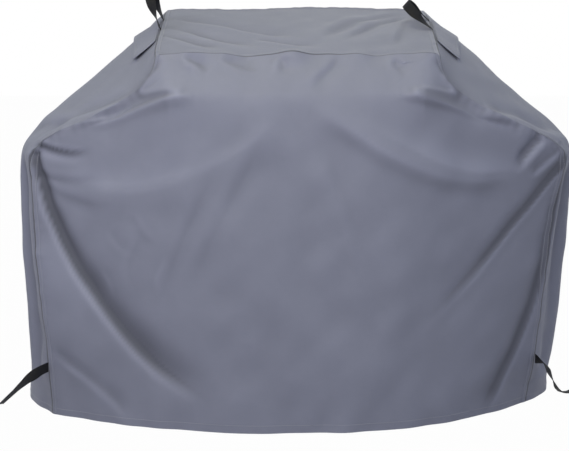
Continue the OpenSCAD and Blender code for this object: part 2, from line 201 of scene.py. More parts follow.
def sideMiddle(t, side):
    c = cover
    low, f = halves(t)
    turn = (1 - low) * (side > 0)
    shelf = c["halfWidth"], (c["frontCornerY"] + c["backCornerY"]) / 2, c["shelfHigh"] - c["foldDrop"]
    top = (
        c["roofHalf"] + c["sideBulge"],
        (c["roofFrontY"] + c["roofBackY"]) / 2,
        (c["roofFrontHigh"] + c["roofBackHigh"]) / 2 + c["crown"] / 4,
    )
    hang = place(shelf[0] - c["rightTuck"] * turn, shelf[1] + c["hemTwist"] / 2 * turn, shelf[2] * low)
    return climb(f, hang, shelf, top, ("sideIn", None, "sideUp"))


def ramp(x, soft):
    return (x + np.sqrt(x * x + soft * soft)) / 2


def frontPoint(u, t):
    # below, the front bows; at the brow it is flat across the hood and falls away on both sides
    c = cover
    seam = frontSeam(t, u)
    middle = frontMiddle(t)
    flat = mix(c["hoodHalf"], c["roofHalf"] * 0.97, halves(t)[1] ** 0.7) / seam[..., 0]
    flat = np.minimum(flat, 0.97)
    a = (np.sqrt(u * u + 0.01) - 0.1) / (math.sqrt(1.01) - 0.1)      # like |u|, but round in the middle
    soft = mix(0.25, 0.035, smoothStep(0.88, 1.01, t))
    base = ramp(-flat / (1 - flat), soft)
    tent = 1 - (ramp((a - flat) / (1 - flat), soft) - base) / (ramp(1, soft) - base)
    # beside the hood the cloth sinks between the hood's corner, the roof and the shelf
    sunk = c["hollow"] * smoothStep(0.98, 1.12, t) * smoothStep(1.95, 1.35, t) * smoothStep(0.86, 0.60, a)
    tent = tent - sunk * np.sin(math.pi * np.clip(tent, 0, 1) ** 0.8)
    shape = mix(1 - a * a, tent, smoothStep(0.3, 0.95, t))
    # the brow sags towards the middle
    sag = c["browSag"] * np.exp(-((t - 1) / 0.22) ** 2) * np.clip(1 - (a / flat) ** 2, 0, 1)
    high = mix(seam[..., 2], middle[..., 2], shape) - sag
    return place(seam[..., 0] * u, mix(seam[..., 1], middle[..., 1], shape), high)


def backPoint(u, t):
    seam = backSeam(t)
    middle = backMiddle(t)
    shape = 1 - u * u
    return place(seam[..., 0] * u, *(mix(seam[..., k], middle[..., k], shape) for k in (1, 2)))


def sidePoint(v, t, side):
    v = np.asarray(v)[..., None]
    point = (
        frontSeam(t, side) * (1 - v) * (1 - 2 * v)
        + sideMiddle(t, side) * 4 * v * (1 - v)
        + backSeam(t) * v * (2 * v - 1)
    )
    return point * np.array([side, 1, 1])


def roofPoint(u, v):
    edge = sidePoint(v, np.full_like(v, 2.0), 1)
    front = frontPoint(np.zeros(1), np.full(1, 2.0)) - frontSeam(np.full(1, 2.0), 1)
    back = backMiddle(np.full(1, 2.0)) - backSeam(np.full(1, 2.0))
    rise = mix(front, back, v[..., None])
    arch = 1 - u * u
    return place(edge[..., 0] * u, edge[..., 1] + rise[..., 1] * arch, edge[..., 2] + rise[..., 2] * arch)


def outward(p):
    # the direction away from the grill, the same for every panel at a point
    x, y, z = np.moveaxis(p, -1, 0)
    return unit(place(
        x / cover["halfWidth"] ** 2,
        (y - core["y"]) / core["depth"] ** 2,
        np.maximum(0, z - core["high"]) / core["up"] ** 2,
    ))


def roundRows(grid, rows):
    # a running mean along t that leaves the first and last row where they are
    reach = int(3 * rows)
    weights = np.exp(-0.5 * (np.arange(-reach, reach + 1) / rows) ** 2)
    weights /= weights.sum()
    below = 2 * grid[0] - grid[reach:0:-1]
    above = 2 * grid[-1] - grid[-2:-reach - 2:-1]
    long = np.concatenate([below, grid, above])
    return sum(weight * long[k:k + len(grid)] for k, weight in enumerate(weights))


acrossStations = np.linspace(-1, 1, cover["columns"])
depthStations = np.linspace(0, 1, cover["depthColumns"])
highStations = np.concatenate([
    np.linspace(0, 1, int(cover["rows"] * 0.6)),
    np.linspace(1, 2, cover["rows"] - int(cover["rows"] * 0.6) + 1)[1:],
])
stations = {
    "front": (highStations, acrossStations),
    "back": (highStations, acrossStations),
    "left": (highStations, depthStations),
    "right": (highStations, depthStations),
    "roof": (depthStations, acrossStations),
}
shapes = {
    "front": frontPoint,
    "back": backPoint,
    "left": lambda v, t: sidePoint(v, t, -1),
    "right": lambda v, t: sidePoint(v, t, 1),
    "roof": roofPoint,
}
smooth = {}
for panel, (ups, overs) in stations.items():
    over, up = np.meshgrid(overs, ups)
    grid = shapes[panel](over, up)
    smooth[panel] = grid if panel == "roof" else roundRows(grid, cover["rounding"])
    if panel == "front":
        middle = np.clip(1.5 * (1 - np.abs(acrossStations)), 0, 1)[None, :, None]
        smooth[panel] = mix(smooth[panel], roundRows(grid, cover["browRounding"]), middle)


def sample(grid, panel, over, up):
    # reads a grid between its points
    ups, overs = stations[panel]
    r = np.interp(up, ups, np.arange(len(ups)))
    k = np.interp(over, overs, np.arange(len(overs)))
    i = np.minimum(r.astype(int), len(ups) - 2)
    j = np.minimum(k.astype(int), len(overs) - 2)
    r = (r - i)[..., None]
    k = (k - j)[..., None]
    return mix(mix(grid[i, j], grid[i, j + 1], k), mix(grid[i + 1, j], grid[i + 1, j + 1], k), r)


print("smooth shape done")

# Each fold has a path, with places across and up its panel in turn, half its width at both ends, its depth,
# the height of the ridge beside it, on the side that the sign names, and the shares over which its ends fade.
# Some rows also set how steep the fold's walls are, and a painted shade along it; a shade below zero paints
# light.
folds = {}
folds["front"] = [
    # from the shelf corners down across the front
    ((-.99, .99, -.94, .76, -.86, .57, -.72, .37, -.55, .21, -.3, .08), (.009, .034), .017, .001, (.03, .3),
     {"steep": .6, "gentle": 1.8, "shade": (1.1, .75), "shadeWide": 2}),
    ((.99, .97, .9, .81, .79, .65, .67, .5, .55, .39, .42, .31), (.013, .018), .006, -.001, (.03, .5),
     {"steep": .8, "gentle": 1.6, "shade": (1.3, .6), "shadeWide": 1.3, "shadeAt": .9}),
    ((1, .92, .985, .66, .96, .46, .91, .28, .83, .12, .76, .01), (.012, .026), .009, -.001, (.2, .12),
     {"steep": .8, "gentle": 1.6, "shade": (.8, 1), "shadeWide": 1.3, "shadeAt": .8}),
    ((-.97, .24, -.86, .18, -.74, .1, -.63, .01), (.014, .02), .004, .001, (.1, .3), {"shade": (.15, .15)}),
    # swags from the brow to the shelf corners
    ((.05, .99, .2, .91, .34, .84, .5, .8, .66, .81, .84, .87), (.026, .03), -.012, 0, (.25, .2),
     {"steep": .9, "gentle": 1.6}),
    ((-.03, .97, -.18, .86, -.36, .78, -.54, .75, -.72, .78, -.92, .85), (.028, .028), -.006, 0, (.25, .25),
     {"steep": .9, "gentle": 1.8}),
    # short folds that fan out of the left shelf corner
    ((-1, 1.06, -.93, .99, -.84, .94, -.74, .92), (.01, .011), .009, -.003, (.05, .7),
     {"shade": (.5, .4), "shadeWide": .8}),
    ((-.99, .92, -.91, .87, -.8, .83, -.7, .82), (.012, .02), .0035, -.001, (.05, .5)),
    ((-.96, .86, -.86, .79, -.76, .74, -.66, .72), (.013, .022), .0025, -.001, (.1, .5)),
    # the pinch at the right shelf corner
    ((.95, 1.1, .89, 1.01, .84, .93, .82, .87), (.014, .013), .014, -.004, (.15, .5),
     {"shade": (.3, .45), "shadeWide": .9}),
    ((.985, 1.02, .93, .95, .87, .87), (.011, .011), .005, -.002, (.2, .3)),
    # soft streaks that hang from the brow
    ((-.3, .78, -.4, .62, -.48, .48, -.56, .33), (.02, .024), .0022, .001, (.3, .4)),
    ((-.1, .92, -.2, .75, -.3, .6, -.39, .45, -.44, .33), (.024, .028), .003, .0015, (.3, .4)),
    ((.08, .92, .17, .74, .28, .52, .38, .34), (.03, .034), .003, .001, (.3, .5)),
    ((-.58, .62, -.63, .52, -.6, .42), (.014, .016), .0011, .0005, (.3, .4)),
    ((-.5, .56, -.55, .47, -.53, .38), (.014, .016), .0011, -.0005, (.3, .4)),
    ((-.7, .66, -.66, .6, -.6, .57), (.012, .014), .001, .0004, (.3, .4)),
    ((-.62, .7, -.58, .62, -.52, .57), (.012, .014), .001, -.0004, (.3, .4)),
    ((-.74, .54, -.7, .47, -.69, .4), (.013, .015), .0012, .0004, (.3, .4)),
    # the hood's edge, its corners and its puckers
    ((-.96, 1.9, -.82, 1.62, -.63, 1.32, -.42, 1.08), (.012, .012), -.004, 0, (.3, .1)),
    ((-.38, 1.05, -.48, 1.03, -.66, 1.08, -.84, 1.15, -.95, 1.22), (.012, .009), -.007, 0, (.15, .3)),
    ((.96, 1.9, .82, 1.62, .63, 1.32, .42, 1.1), (.012, .012), -.004, 0, (.3, .1)),
    ((.38, 1.07, .48, 1.04, .64, 1.11, .84, 1.2, .95, 1.26), (.012, .009), -.007, 0, (.15, .3)),
    ((-.78, 1.92, -.6, 1.76, -.44, 1.56), (.012, .018), .009, .003, (.3, .5), {"shade": (.1, .05)}),
    ((-.52, 1.9, -.34, 1.74, -.18, 1.62), (.013, .018), .007, .002, (.3, .5), {"shade": (.08, .05)}),
    ((.3, 1.95, .22, 1.7, .12, 1.42, .05, 1.12), (.015, .02), .006, .002, (.3, .4)),
    ((-.1, 1.92, -.08, 1.7, -.05, 1.45), (.013, .018), .005, .002, (.3, .5)),
    ((.7, 1.9, .6, 1.72, .54, 1.5), (.013, .018), .005, .002, (.3, .5)),
    # painted shade beside the hood, and painted light above the swags and beside the long fold from the left
    # shelf corner
    ((-.95, 1.93, -.84, 1.62, -.66, 1.32, -.46, 1.09), (.016, .026), 0, -.0001, (.3, .1),
     {"shade": (.35, .42), "shadeAt": 0}),
    ((.95, 1.93, .84, 1.62, .66, 1.32, .46, 1.11), (.016, .026), 0, .0001, (.3, .1),
     {"shade": (.4, .5), "shadeAt": 0}),
    ((.22, .96, .36, .9, .52, .855, .68, .86, .84, .92), (.024, .03), 0, .0001, (.5, .2),
     {"shade": (-.25, -.42), "shadeWide": 1.5}),
    ((-.14, .94, -.34, .83, -.54, .8, -.72, .83, -.92, .9), (.026, .03), 0, -.0001, (.5, .2),
     {"shade": (-.1, -.3), "shadeWide": 1.6}),
    ((-.92, .72, -.84, .58, -.73, .46, -.6, .36), (.04, .06), 0, -.0001, (.3, .6),
     {"shade": (-.35, -.2), "shadeAt": -1}),
]
folds["roof"] = [
    # folds that run out of the roof's front left corner
    ((-.99, .6, -.8, .47, -.58, .32, -.22, .12), (.014, .028), .016, .004, (.1, .4), {"shade": (.22, .05)}),
    ((-.99, .42, -.84, .31, -.7, .2, -.5, .08), (.013, .02), .012, .004, (.1, .4), {"shade": (.18, .05)}),
    ((-.94, .78, -.66, .64, -.34, .48, .1, .3), (.016, .028), .014, .004, (.15, .5), {"shade": (.18, .05)}),
    ((-.3, .3, -.05, .2, .2, .14), (.016, .02), .01, .003, (.3, .5), {"shade": (.1, .1)}),
    # and out of the right handle's root
    ((.86, .84, .68, .68, .52, .5, .32, .17), (.012, .022), .008, .003, (.2, .4), {"shade": (.08, .05)}),
    ((.84, .9, .6, .74, .38, .58, .15, .18), (.014, .024), .007, .003, (.2, .4), {"shade": (.08, .05)}),
    ((.9, .8, .82, .55, .76, .35, .72, .12), (.012, .018), .006, .003, (.2, .4), {"shade": (.05, .05)}),
]
folds["left"] = [
    # the sides hang in upright folds from the shelf edges
    ((.16, 1.02, .18, .7, .15, .35, .16, .05), (.02, .036), .014, .006, (.15, .2)),
    ((.52, .98, .5, .6, .55, .25, .54, .02), (.024, .036), .012, .006, (.2, .1)),
    ((.84, 1, .8, .72, .84, .4, .82, .05), (.018, .034), .014, -.006, (.15, .1)),
    # dips in the slopes over the shelves
    ((.04, 1.72, .16, 1.45, .2, 1.2, .1, 1.02), (.02, .024), .01, -.005, (.2, .3)),
    ((.04, 1.35, .26, 1.28, .5, 1.18, .8, 1.1), (.022, .03), .008, .005, (.2, .4)),
]
folds["right"] = [
    ((.1, .98, .2, .74, .24, .45, .22, .08), (.02, .038), .016, -.007, (.15, .1)),
    ((.5, .99, .46, .66, .52, .3, .5, .02), (.022, .036), .011, .006, (.2, .1)),
    ((.86, 1, .82, .7, .8, .38, .84, .06), (.018, .032), .013, .006, (.15, .1)),
    ((.05, 1.6, .16, 1.4, .22, 1.18, .14, 1.02), (.018, .024), .009, .005, (.2, .3)),
    ((.06, 1.3, .3, 1.24, .56, 1.16, .82, 1.08), (.022, .028), .008, .005, (.2, .4)),
]
folds["back"] = [
    # the back hangs from its fold in long soft ones
    ((-.98, .98, -.84, .74, -.66, .46, -.5, .16), (.014, .036), .024, -.008, (.08, .3)),
    ((.98, .98, .86, .7, .72, .42, .6, .14), (.014, .036), .022, .008, (.08, .3)),
    ((-.9, .94, -.55, .84, -.2, .88, .05, .97), (.024, .03), .011, .006, (.2, .3)),
    ((.9, .94, .6, .82, .3, .86, .12, .96), (.024, .03), .01, -.006, (.2, .3)),
    ((-.2, .9, -.24, .6, -.2, .3, -.26, .04), (.026, .036), .008, .005, (.3, .1)),
    ((.28, .88, .24, .6, .28, .3, .24, .04), (.026, .038), .009, .005, (.3, .1)),
    ((-.5, 1.9, -.4, 1.55, -.36, 1.15), (.014, .022), .008, .004, (.2, .3)),
    ((.56, 1.9, .44, 1.5, .4, 1.12), (.014, .022), .008, -.004, (.2, .3)),
]
puckers = {"lengths": (.023, .034, .052, .080), "high": .0006, "reach": .020}
roofPuckers = {"lengths": (.080, .140, .190, .270), "high": .0052, "reach": .028}
hemWaves = {"lengths": (.090, .150, .240, .380), "high": .0020, "reach": .080}
waveGain = 1.4
phases = 6.28
seamLines = [(panel, (side, side), (0, high), puckers)
             for panel, high in (("front", 2), ("back", 2), ("roof", 1)) for side in (-1, 1)]
seamLines += [("roof", (-1, 1), (0, 0), roofPuckers), ("roof", (-1, 1), (1, 1), puckers)]
seamLines += [(panel, (start, 1), (0, 0), hemWaves)
              for panel, start in (("front", -1), ("back", -1), ("left", 0), ("right", 0))]
slack = {"seed": 11, "waves": 26, "shortest": .07, "longest": .42, "share": .0032}
vents = {
    "long": .150, "wide": .046, "back": .230, "margin": .014, "flapMargin": .022,
    "seam": .014, "gap": .0008, "lift": .0065, "stiffener": .012, "stiffenerThick": .0016,
    "stiffenerGap": .0001, "turned": .0007, "ripple": .0022, "belly": .003,
    "rippleTurn": 9.0, "rippleFrom": 0.6,   # in radians
    "liftShares": (0.86, 1.10),             # at the flap's front and back ends
}
handles = {
    "span": .096, "high": .084, "back": .272, "width": .025, "thick": .0018, "gap": .0007, "turnBy": 60,
    "steps": 72, "round": 0.8,
    "lean": {"left": 20, "right": -50},     # degrees outwards
}


def nearest(points, route):
    # for each point: where along the route the nearest place is, in steps, and the way from it to the point
    product = points.astype(np.float32) @ route.T.astype(np.float32)
    k = np.argmin((route * route).sum(-1)[None, :] - 2 * product, axis=1)
    best = k.astype(float)
    away = points - route[k]
    for step in (-1, 1):
        to = np.clip(k + step, 0, len(route) - 1)
        piece = route[to] - route[k]
        long = (piece * piece).sum(-1)
        share = np.clip(((points - route[k]) * piece).sum(-1) / np.maximum(long, 1e-12), 0, 1)
        way = points - route[k] - piece * share[:, None]
        closer = (way * way).sum(-1) < (away * away).sum(-1)
        away = np.where(closer[:, None], way, away)
        best = np.where(closer, k + step * share, best)
    return best, away


def readAt(values, k):
    # reads a list between its entries
    low = np.minimum(k.astype(int), len(values) - 2)
    share = (k - low).reshape((-1,) + (1,) * (values.ndim - 1))
    return mix(values[low], values[low + 1], share)


def routeOn(panel, path, count):
    knots = list(zip(*path))
    s = np.linspace(0, len(knots[0]) - 1, count)
    over, up = [smoothLine(s, list(enumerate(places))) for places in knots]
    return sample(smooth[panel], panel, over, up)


def foldMarks(points, panel, path, widths, deep, ridge, ends, form=None):
    # how far a fold lifts each point, and how much painted shade the fold puts on it (painted light where the
    # shade is below zero)
    form = form or {}
    route = routeOn(panel, zip(path[::2], path[1::2]), 140)
    wide = np.linspace(*widths, len(route))
    tangent = unit(np.gradient(route, axis=0))
    sideways = np.cross(tangent, outward(route))
    reach = 4 * max(widths)
    near = np.all((points > route.min(0) - reach) & (points < route.max(0) + reach), axis=-1)
    lift = np.zeros(len(points))
    shaded = np.zeros(len(points))
    if not near.any():
        return lift, shaded
    k, aside = nearest(points[near], route)
    w = readAt(wide, k)
    across = (aside * readAt(sideways, k)).sum(-1) / w
    beyond = (aside * readAt(tangent, k)).sum(-1) / w
    along = lengthsAlong(route)
    share = readAt(along / along[-1], k)
    fade = smoothStep(0, ends[0], share + 0.03) * smoothStep(0, ends[1], 1 - share) * np.exp(-beyond ** 2)
    # the wall beside the ridge is the steeper one
    across = across * math.copysign(1, ridge)
    wall = across / np.where(across > 0, form.get("steep", 0.8), form.get("gentle", 1.3))
    lift[near] = fade * (abs(ridge) * np.exp(-((across - 1.2) / 0.9) ** 2) - deep * np.exp(-wall ** 2))
    # the painted shade starts just on the ridge side of the fold's deepest line and fades out across its
    # gentle wall
    if "shade" in form:
        deepest = form.get("shadeAt", 0.5)
        behind = np.maximum(0, deepest - across) / form.get("shadeWide", 1.7)
        dark = np.exp(-behind ** 2) * smoothStep(deepest + 0.45, deepest, across)
        shaded[near] = mix(*form["shade"], share) * dark * fade
    return lift, shaded


def lineLift(points, panel, overs, ups, waves, phases):
    route = routeOn(panel, zip(np.linspace(*overs, 12), np.linspace(*ups, 12)), 260)
    k, away = nearest(points, route)
    along = readAt(lengthsAlong(route), k)
    distance = np.linalg.norm(away, axis=-1)
    total = sum(
        np.sin(2 * math.pi * along / length + phase) * length ** 0.5
        for length, phase in zip(waves["lengths"], phases)
    )
    total /= sum(waves["lengths"]) ** 0.5
    return waveGain * waves["high"] * total * np.exp(-(distance / waves["reach"]) ** 2)


def slackLift(points):
    # wide, shallow waves all over the cloth
    draw = np.random.default_rng(slack["seed"])
    total = np.zeros(len(points))
    for _ in range(slack["waves"]):
        length = slack["shortest"] * (slack["longest"] / slack["shortest"]) ** draw.random()
        heading = unit(draw.normal(size=3))
        phase = draw.random() * phases
        total += slack["share"] * length * np.sin(points @ heading * 2 * math.pi / length + phase)
    return total


def clearOf(points, kinds, size, power, share=1.0, drop=0.0):
    # falls from 1 to 0 near the places where such pieces are sewn on
    still = np.ones(len(points))
    for name, spot in hangPoints.items():
        if name.endswith(kinds):
            distance = np.linalg.norm(points - spot + np.array([0, 0, drop]), axis=-1)
            still *= 1 - share * np.exp(-(distance / size) ** power)
    return still


def calm(points):
    # the cloth lies flat where a handle, a flap or a strap is sewn on
    return clearOf(points, ("strap", "handle"), .060, 4, 0.92) * clearOf(points, "flap", .115, 4, 0.92, .02)


def flatAtHandles(points):
    # nothing stands proud under a handle
    return clearOf(points, "handle", .090, 6)


def liftAt(points):
    draw = np.random.default_rng(slack["seed"] + 1)
    total = slackLift(points)
    shaded = np.zeros(len(points))
    for panel, rows in folds.items():
        for fold in rows:
            lift, dark = foldMarks(points, panel, *fold)
            total += lift
            shaded += dark
    for panel, overs, ups, waves in seamLines:
        total += lineLift(points, panel, overs, ups, waves, draw.random(4) * phases)
    return total * calm(points), shaded


# painted shade: a dark line along every seam, and the gain from a fold's painted shade to the tone
seamShadow = -4.5
deepShadow = 2.7
creaseGain = 1500                           # from a row's rise above its neighbours to a tone
cloth = {}
shadows = {}
normals = {}
creaseShade = {}
for panel, grid in smooth.items():
    flat = grid.reshape(-1, 3)
    lift, shaded = liftAt(flat)
    cloth[panel] = (flat + outward(flat) * lift[:, None]).reshape(grid.shape)
    # the folds' painted shade, as a tone
    shadows[panel] = -deepShadow * shaded.reshape(grid.shape[:2])
    over = np.gradient(cloth[panel], axis=1)
    up = np.gradient(cloth[panel], axis=0)
    turn = 1 if panel in ("front", "right", "roof") else -1
    normals[panel] = unit(np.cross(over, up)) * turn
    bend = np.zeros(grid.shape[:2])
    shape = cloth[panel]
    around = shape[:-2, 1:-1] + shape[2:, 1:-1] + shape[1:-1, :-2] + shape[1:-1, 2:]
    bend[1:-1, 1:-1] = -((around / 4 - shape[1:-1, 1:-1]) * normals[panel][1:-1, 1:-1]).sum(-1)
    # the tone that colours the cloth: curvature, so that hollows get painted shade and ridges come out paler
    # (partly wear, partly painted light), plus the folds' painted shade
    creaseShade[panel] = np.clip(bend * creaseGain, -1, 1) + shadows[panel]
    # a painted shadow line along the panel's seams
    edges = creaseShade[panel]
    edges[:, 0] = edges[:, -1] = edges[-1] = seamShadow
    if panel == "roof":
        edges[0] = seamShadow
print("folds done")


def onCloth(panel, over, up, high=0.0):
    over, up = np.broadcast_arrays(np.asarray(over, float), np.asarray(up, float))
    lift = np.asarray(high)[..., None] if np.ndim(high) else high
    return sample(cloth[panel], panel, over, up) + sample(normals[panel], panel, over, up) * lift


def clothNormal(panel, over, up):
    over, up = np.broadcast_arrays(np.asarray(over, float), np.asarray(up, float))
    return unit(sample(normals[panel], panel, over, up))


def makeNode(tree, kind, sockets=None, **settings):
    node = tree.nodes.new(kind)
    for key, value in settings.items():
        setattr(node, key, value)
    for key, value in (sockets or {}).items():
        value = value.socket if isinstance(value, Wire) else value
        if isinstance(value, bpy.types.NodeSocket):
            tree.links.new(value, node.inputs[key])
        else:
            node.inputs[key].default_value = value
    return node.outputs


class Wire:
    # an output of a node, which does sums with other outputs and plain numbers
    def __init__(self, look, socket):
        self.look = look
        self.socket = socket

    def sum(self, operation, other=0.0):
        return self.look.node("Math", {0: self, 1: other}, operation=operation)

    def __add__(self, other):
        return self.sum("ADD", other)

    def __sub__(self, other):
        return self.sum("SUBTRACT", other)

    def __mul__(self, other):
        return self.sum("MULTIPLY", other)


class Look:
    def __init__(self, name):
        self.material = bpy.data.materials.new(name)
        self.material.use_nodes = True
        self.tree = self.material.node_tree
        self.tree.nodes.clear()

    def node(self, kind, sockets=None, output=0, **settings):
        return Wire(self, makeNode(self.tree, "ShaderNode" + kind, sockets, **settings)[output])

    def place(self):
        return self.node("TexCoord", output=3)

    def cloth(self):
        # the place on the flat cloth, and its parts across and along
        uv = self.node("UVMap", uv_map="cut")
        across = self.node("SeparateXYZ", {0: uv})
        return uv, across, Wire(self, across.socket.node.outputs[1])

    def sine(self, wire, length):
        return (wire * (2 * math.pi / length)).sum("SINE")

    def noise(self, at, scale, detail, rough=0.5):
        return self.node("TexNoise", {"Vector": at, "Scale": scale, "Detail": detail, "Roughness": rough})

    def blend(self, share, a, b):
        return self.node("Mix", {0: share, 6: a, 7: b}, 2, data_type="RGBA")

    def tint(self, share, colour, dark, bright):
        return self.blend(share, shade(colour, dark), shade(colour, bright))

    def bump(self, strength, distance, height, **more):
        return self.node("Bump", {"Strength": strength, "Distance": distance, "Height": height, **more})

    def finish(self, shader):
        out = self.tree.nodes.new("ShaderNodeOutputMaterial")
        self.tree.links.new(shader.socket, out.inputs["Surface"])
        return self.material


def shade(colour, light):
    return tuple(min(1, part * light) for part in colour[:3]) + (1,)


fabric = {
    "colour": (.226, .236, .306, 1), "yarn": .0011, "weaveDeep": .00012, "crumpleDeep": .0016,
    "rough": .56, "sheen": .10,
    "tones": ((.40, 1.45), (-.35, .42)),    # ridges and painted light come out paler (ridges partly as wear), and hollows, seam lines and fold shade darker, as painted shade
}


def fabricLook(name, light=1.0, weave=1.0):
    look = Look(name)
    at = look.place()
    uv, across, along = look.cloth()
    # the tone attribute, which carries painted shade and painted light
    bend = look.node("Attribute", None, 2, attribute_name="creaseShade")
    weaveHigh = look.sine(across, fabric["yarn"]) * look.sine(along, fabric["yarn"])
    patches = look.noise(at, 2.4, 3)
    mottle = look.noise(at, 34, 4, .6)
    grain = look.noise(uv, 900, 2)
    share = (patches - 0.5) * 0.9 + (mottle - 0.5) * 0.5 + (grain - 0.5) * 0.35 + 0.5
    colour = look.tint(share, fabric["colour"], .90 * light, 1.10 * light)
    # paint the paler tone on ridges and painted light, and the painted shade on hollows, seam lines and folds
    for way, deepest in fabric["tones"]:
        amount = (bend * way).sum("MAXIMUM", 0.0).sum("MINIMUM", 1.0)
        colour = look.blend(amount, colour, shade(fabric["colour"], deepest * light))
    small = look.bump(0.5, fabric["crumpleDeep"], look.noise(at, 26, 5, .62))
    threads = look.bump(weave, fabric["weaveDeep"], weaveHigh * 0.5 + grain, Normal=small)
    return look.finish(look.node("BsdfPrincipled", {
        "Base Color": colour, "Roughness": (mottle - 0.5) * 0.25 + fabric["rough"], "Normal": threads,
        "Sheen Weight": fabric["sheen"], "Sheen Roughness": 0.4, "Specular IOR Level": 0.35,
    }))


def webbingLook(name, colour, rib):
    look = Look(name)
    at = look.place()
    across, along = look.cloth()[1:]
    ribs = look.sine(across, rib) * 0.5 + look.sine(along + across * 0.5, rib * 1.4) * 0.5
    dust = look.noise(at, 60, 4, .6)
    tone = look.tint(dust, colour, .75, 1.5)
    return look.finish(look.node("BsdfPrincipled", {
        "Base Color": tone, "Roughness": dust * 0.2 + 0.5,
        "Normal": look.bump(0.9, .0003, ribs + dust * 0.4), "Specular IOR Level": 0.3,
    }))


def plainLook(name, colour, rough, scale, deep):
    look = Look(name)
    grain = look.noise(look.place(), scale, 4)
    return look.finish(look.node("BsdfPrincipled", {
        "Base Color": look.tint(grain, colour, .85, 1.15), "Roughness": grain * 0.2 + (rough - 0.1),
        "Normal": look.bump(0.6, deep, grain),
    }))


looks = {
    "fabric": fabricLook("oxford polyester"),
    "band": fabricLook("felled seam", 0.97),
    "lining": fabricLook("coated back", 0.80, 0.4),
    "thread": plainLook("grey thread", (.40, .41, .45), .7, 900, .0001),
    "blackThread": plainLook("black thread", (.012, .012, .014), .6, 900, .0001),
    "tape": plainLook("bonded seam tape", (.26, .27, .29), .42, 220, .0002),
    "net": plainLook("vent net", (.012, .012, .014), .6, 500, .0001),
    "stiffener": plainLook("stiffener strip", (.020, .020, .023), .5, 300, .0001),
    "webbing": webbingLook("polypropylene webbing", (.007, .007, .009), .0016),
    "hook": plainLook("hook tape", (.010, .010, .012), .5, 700, .0003),
    "loop": plainLook("loop tape", (.016, .016, .019), .95, 420, .0012),
}
print("materials done")


def addObject(name, mesh):
    piece = bpy.data.objects.new(name, mesh)
    bpy.context.scene.collection.objects.link(piece)
    return piece


def solid(name, vertices, faces, look, cut=None, bendsAndShade=None, sharp=55):
    # drops the points that no face uses, and turns a solid whose faces point inwards
    used, corners = np.unique(np.concatenate([f.ravel() for f in faces]), return_inverse=True)
    vertices = np.asarray(vertices)[used]
    sizes = [f.shape for f in faces]
    ends = np.cumsum([a * b for a, b in sizes])
    faces = [part.reshape(shape) for part, shape in zip(np.split(corners.ravel(), ends[:-1]), sizes)]
    volume = sum(
        (vertices[f[:, 0]] * np.cross(vertices[f[:, k]], vertices[f[:, k + 1]])).sum()
        for f in faces for k in range(1, f.shape[1] - 1)
    )
    if volume < 0:
        faces = [f[:, ::-1] for f in faces]
    mesh = bpy.data.meshes.new(name)
    mesh.from_pydata(vertices.tolist(), [], [row for f in faces for row in f.tolist()])
    mesh.materials.append(looks[look])
    mesh.shade_smooth()
    mesh.set_sharp_from_angle(angle=math.radians(sharp))
    loops = np.zeros(len(mesh.loops), int)
    mesh.loops.foreach_get("vertex_index", loops)
    if cut is not None:
        layer = mesh.uv_layers.new(name="cut")
        layer.data.foreach_set("uv", np.asarray(cut)[used][loops].ravel())
    if bendsAndShade is not None:
        mesh.attributes.new("creaseShade", "FLOAT", "POINT").data.foreach_set("value", np.asarray(bendsAndShade)[used])
    mesh.update()
    return addObject(name, mesh)


def gridCut(grid):
    # the flat pattern of a grid: lengths along its rows from the middle, and up its columns
    rows = lengthsAlong(np.moveaxis(grid, 1, 0)).T
    middle = rows[:, rows.shape[1] // 2][:, None]
    return np.stack([rows - middle, lengthsAlong(grid)], -1)


def slab(name, outer, inner, look, keep=None, bendsAndShade=None):
    # a closed solid between two grids of points
    rows, columns = outer.shape[:2]
    count = rows * columns
    ids = np.arange(count).reshape(rows, columns)
    keep = np.ones((rows - 1, columns - 1), bool) if keep is None else keep
    i, j = np.nonzero(keep)
    a, b, c, d = ids[i, j], ids[i, j + 1], ids[i + 1, j + 1], ids[i + 1, j]
    faces = [np.stack([a, b, c, d], -1), np.stack([a, d, c, b], -1) + count]
    edged = np.pad(keep, 1)
    for di, dj, start, end in ((-1, 0, a, b), (1, 0, c, d), (0, -1, d, a), (0, 1, b, c)):
        bare = ~edged[i + 1 + di, j + 1 + dj]
        faces.append(np.stack([end, start, start + count, end + count], -1)[bare])
    cut = gridCut(outer).reshape(-1, 2)
    if bendsAndShade is None:
        bendsAndShade = np.zeros((rows, columns))
    return solid(
        name, np.concatenate([outer.reshape(-1, 3), inner.reshape(-1, 3)]), faces, look,
        np.concatenate([cut, cut]), np.concatenate([bendsAndShade.ravel(), bendsAndShade.ravel() * 0]),
    )


profile = [(-1, 0), (-.96, .8), (-.82, 1), (-.4, .9), (0, .88), (.4, .9), (.82, 1), (.96, .8),
           (1, 0), (.96, -.8), (.82, -1), (.4, -.9), (0, -.88), (-.4, -.9), (-.82, -1), (-.96, -.8)]


def ribbon(name, points, sides, width, low, high, look):
    # webbing swept along points, each with the direction of its width
    ahead = unit(np.gradient(points, axis=0))
    faceOut = unit(np.cross(ahead, sides))
    s, h = np.array(profile).T
    ring = len(profile)
    rings = (
        points[:, None] + sides[:, None] * (s * width / 2)[None, :, None]
        + faceOut[:, None] * mix(low, high, (h + 1) / 2)[None, :, None]
    )
    ids = np.arange(len(points) * ring).reshape(len(points), ring)
    nextRing = np.roll(ids, -1, axis=1)
    faces = [np.stack([ids[:-1], nextRing[:-1], nextRing[1:], ids[1:]], -1).reshape(-1, 4),
             ids[:1, ::-1], ids[-1:]]
    along = np.broadcast_to(lengthsAlong(points)[:, None], ids.shape)
    cut = np.stack([np.broadcast_to(s * width / 2, ids.shape), along], -1).reshape(-1, 2)
    return solid(name, rings.reshape(-1, 3), faces, look, cut, np.zeros(ids.size), 70)


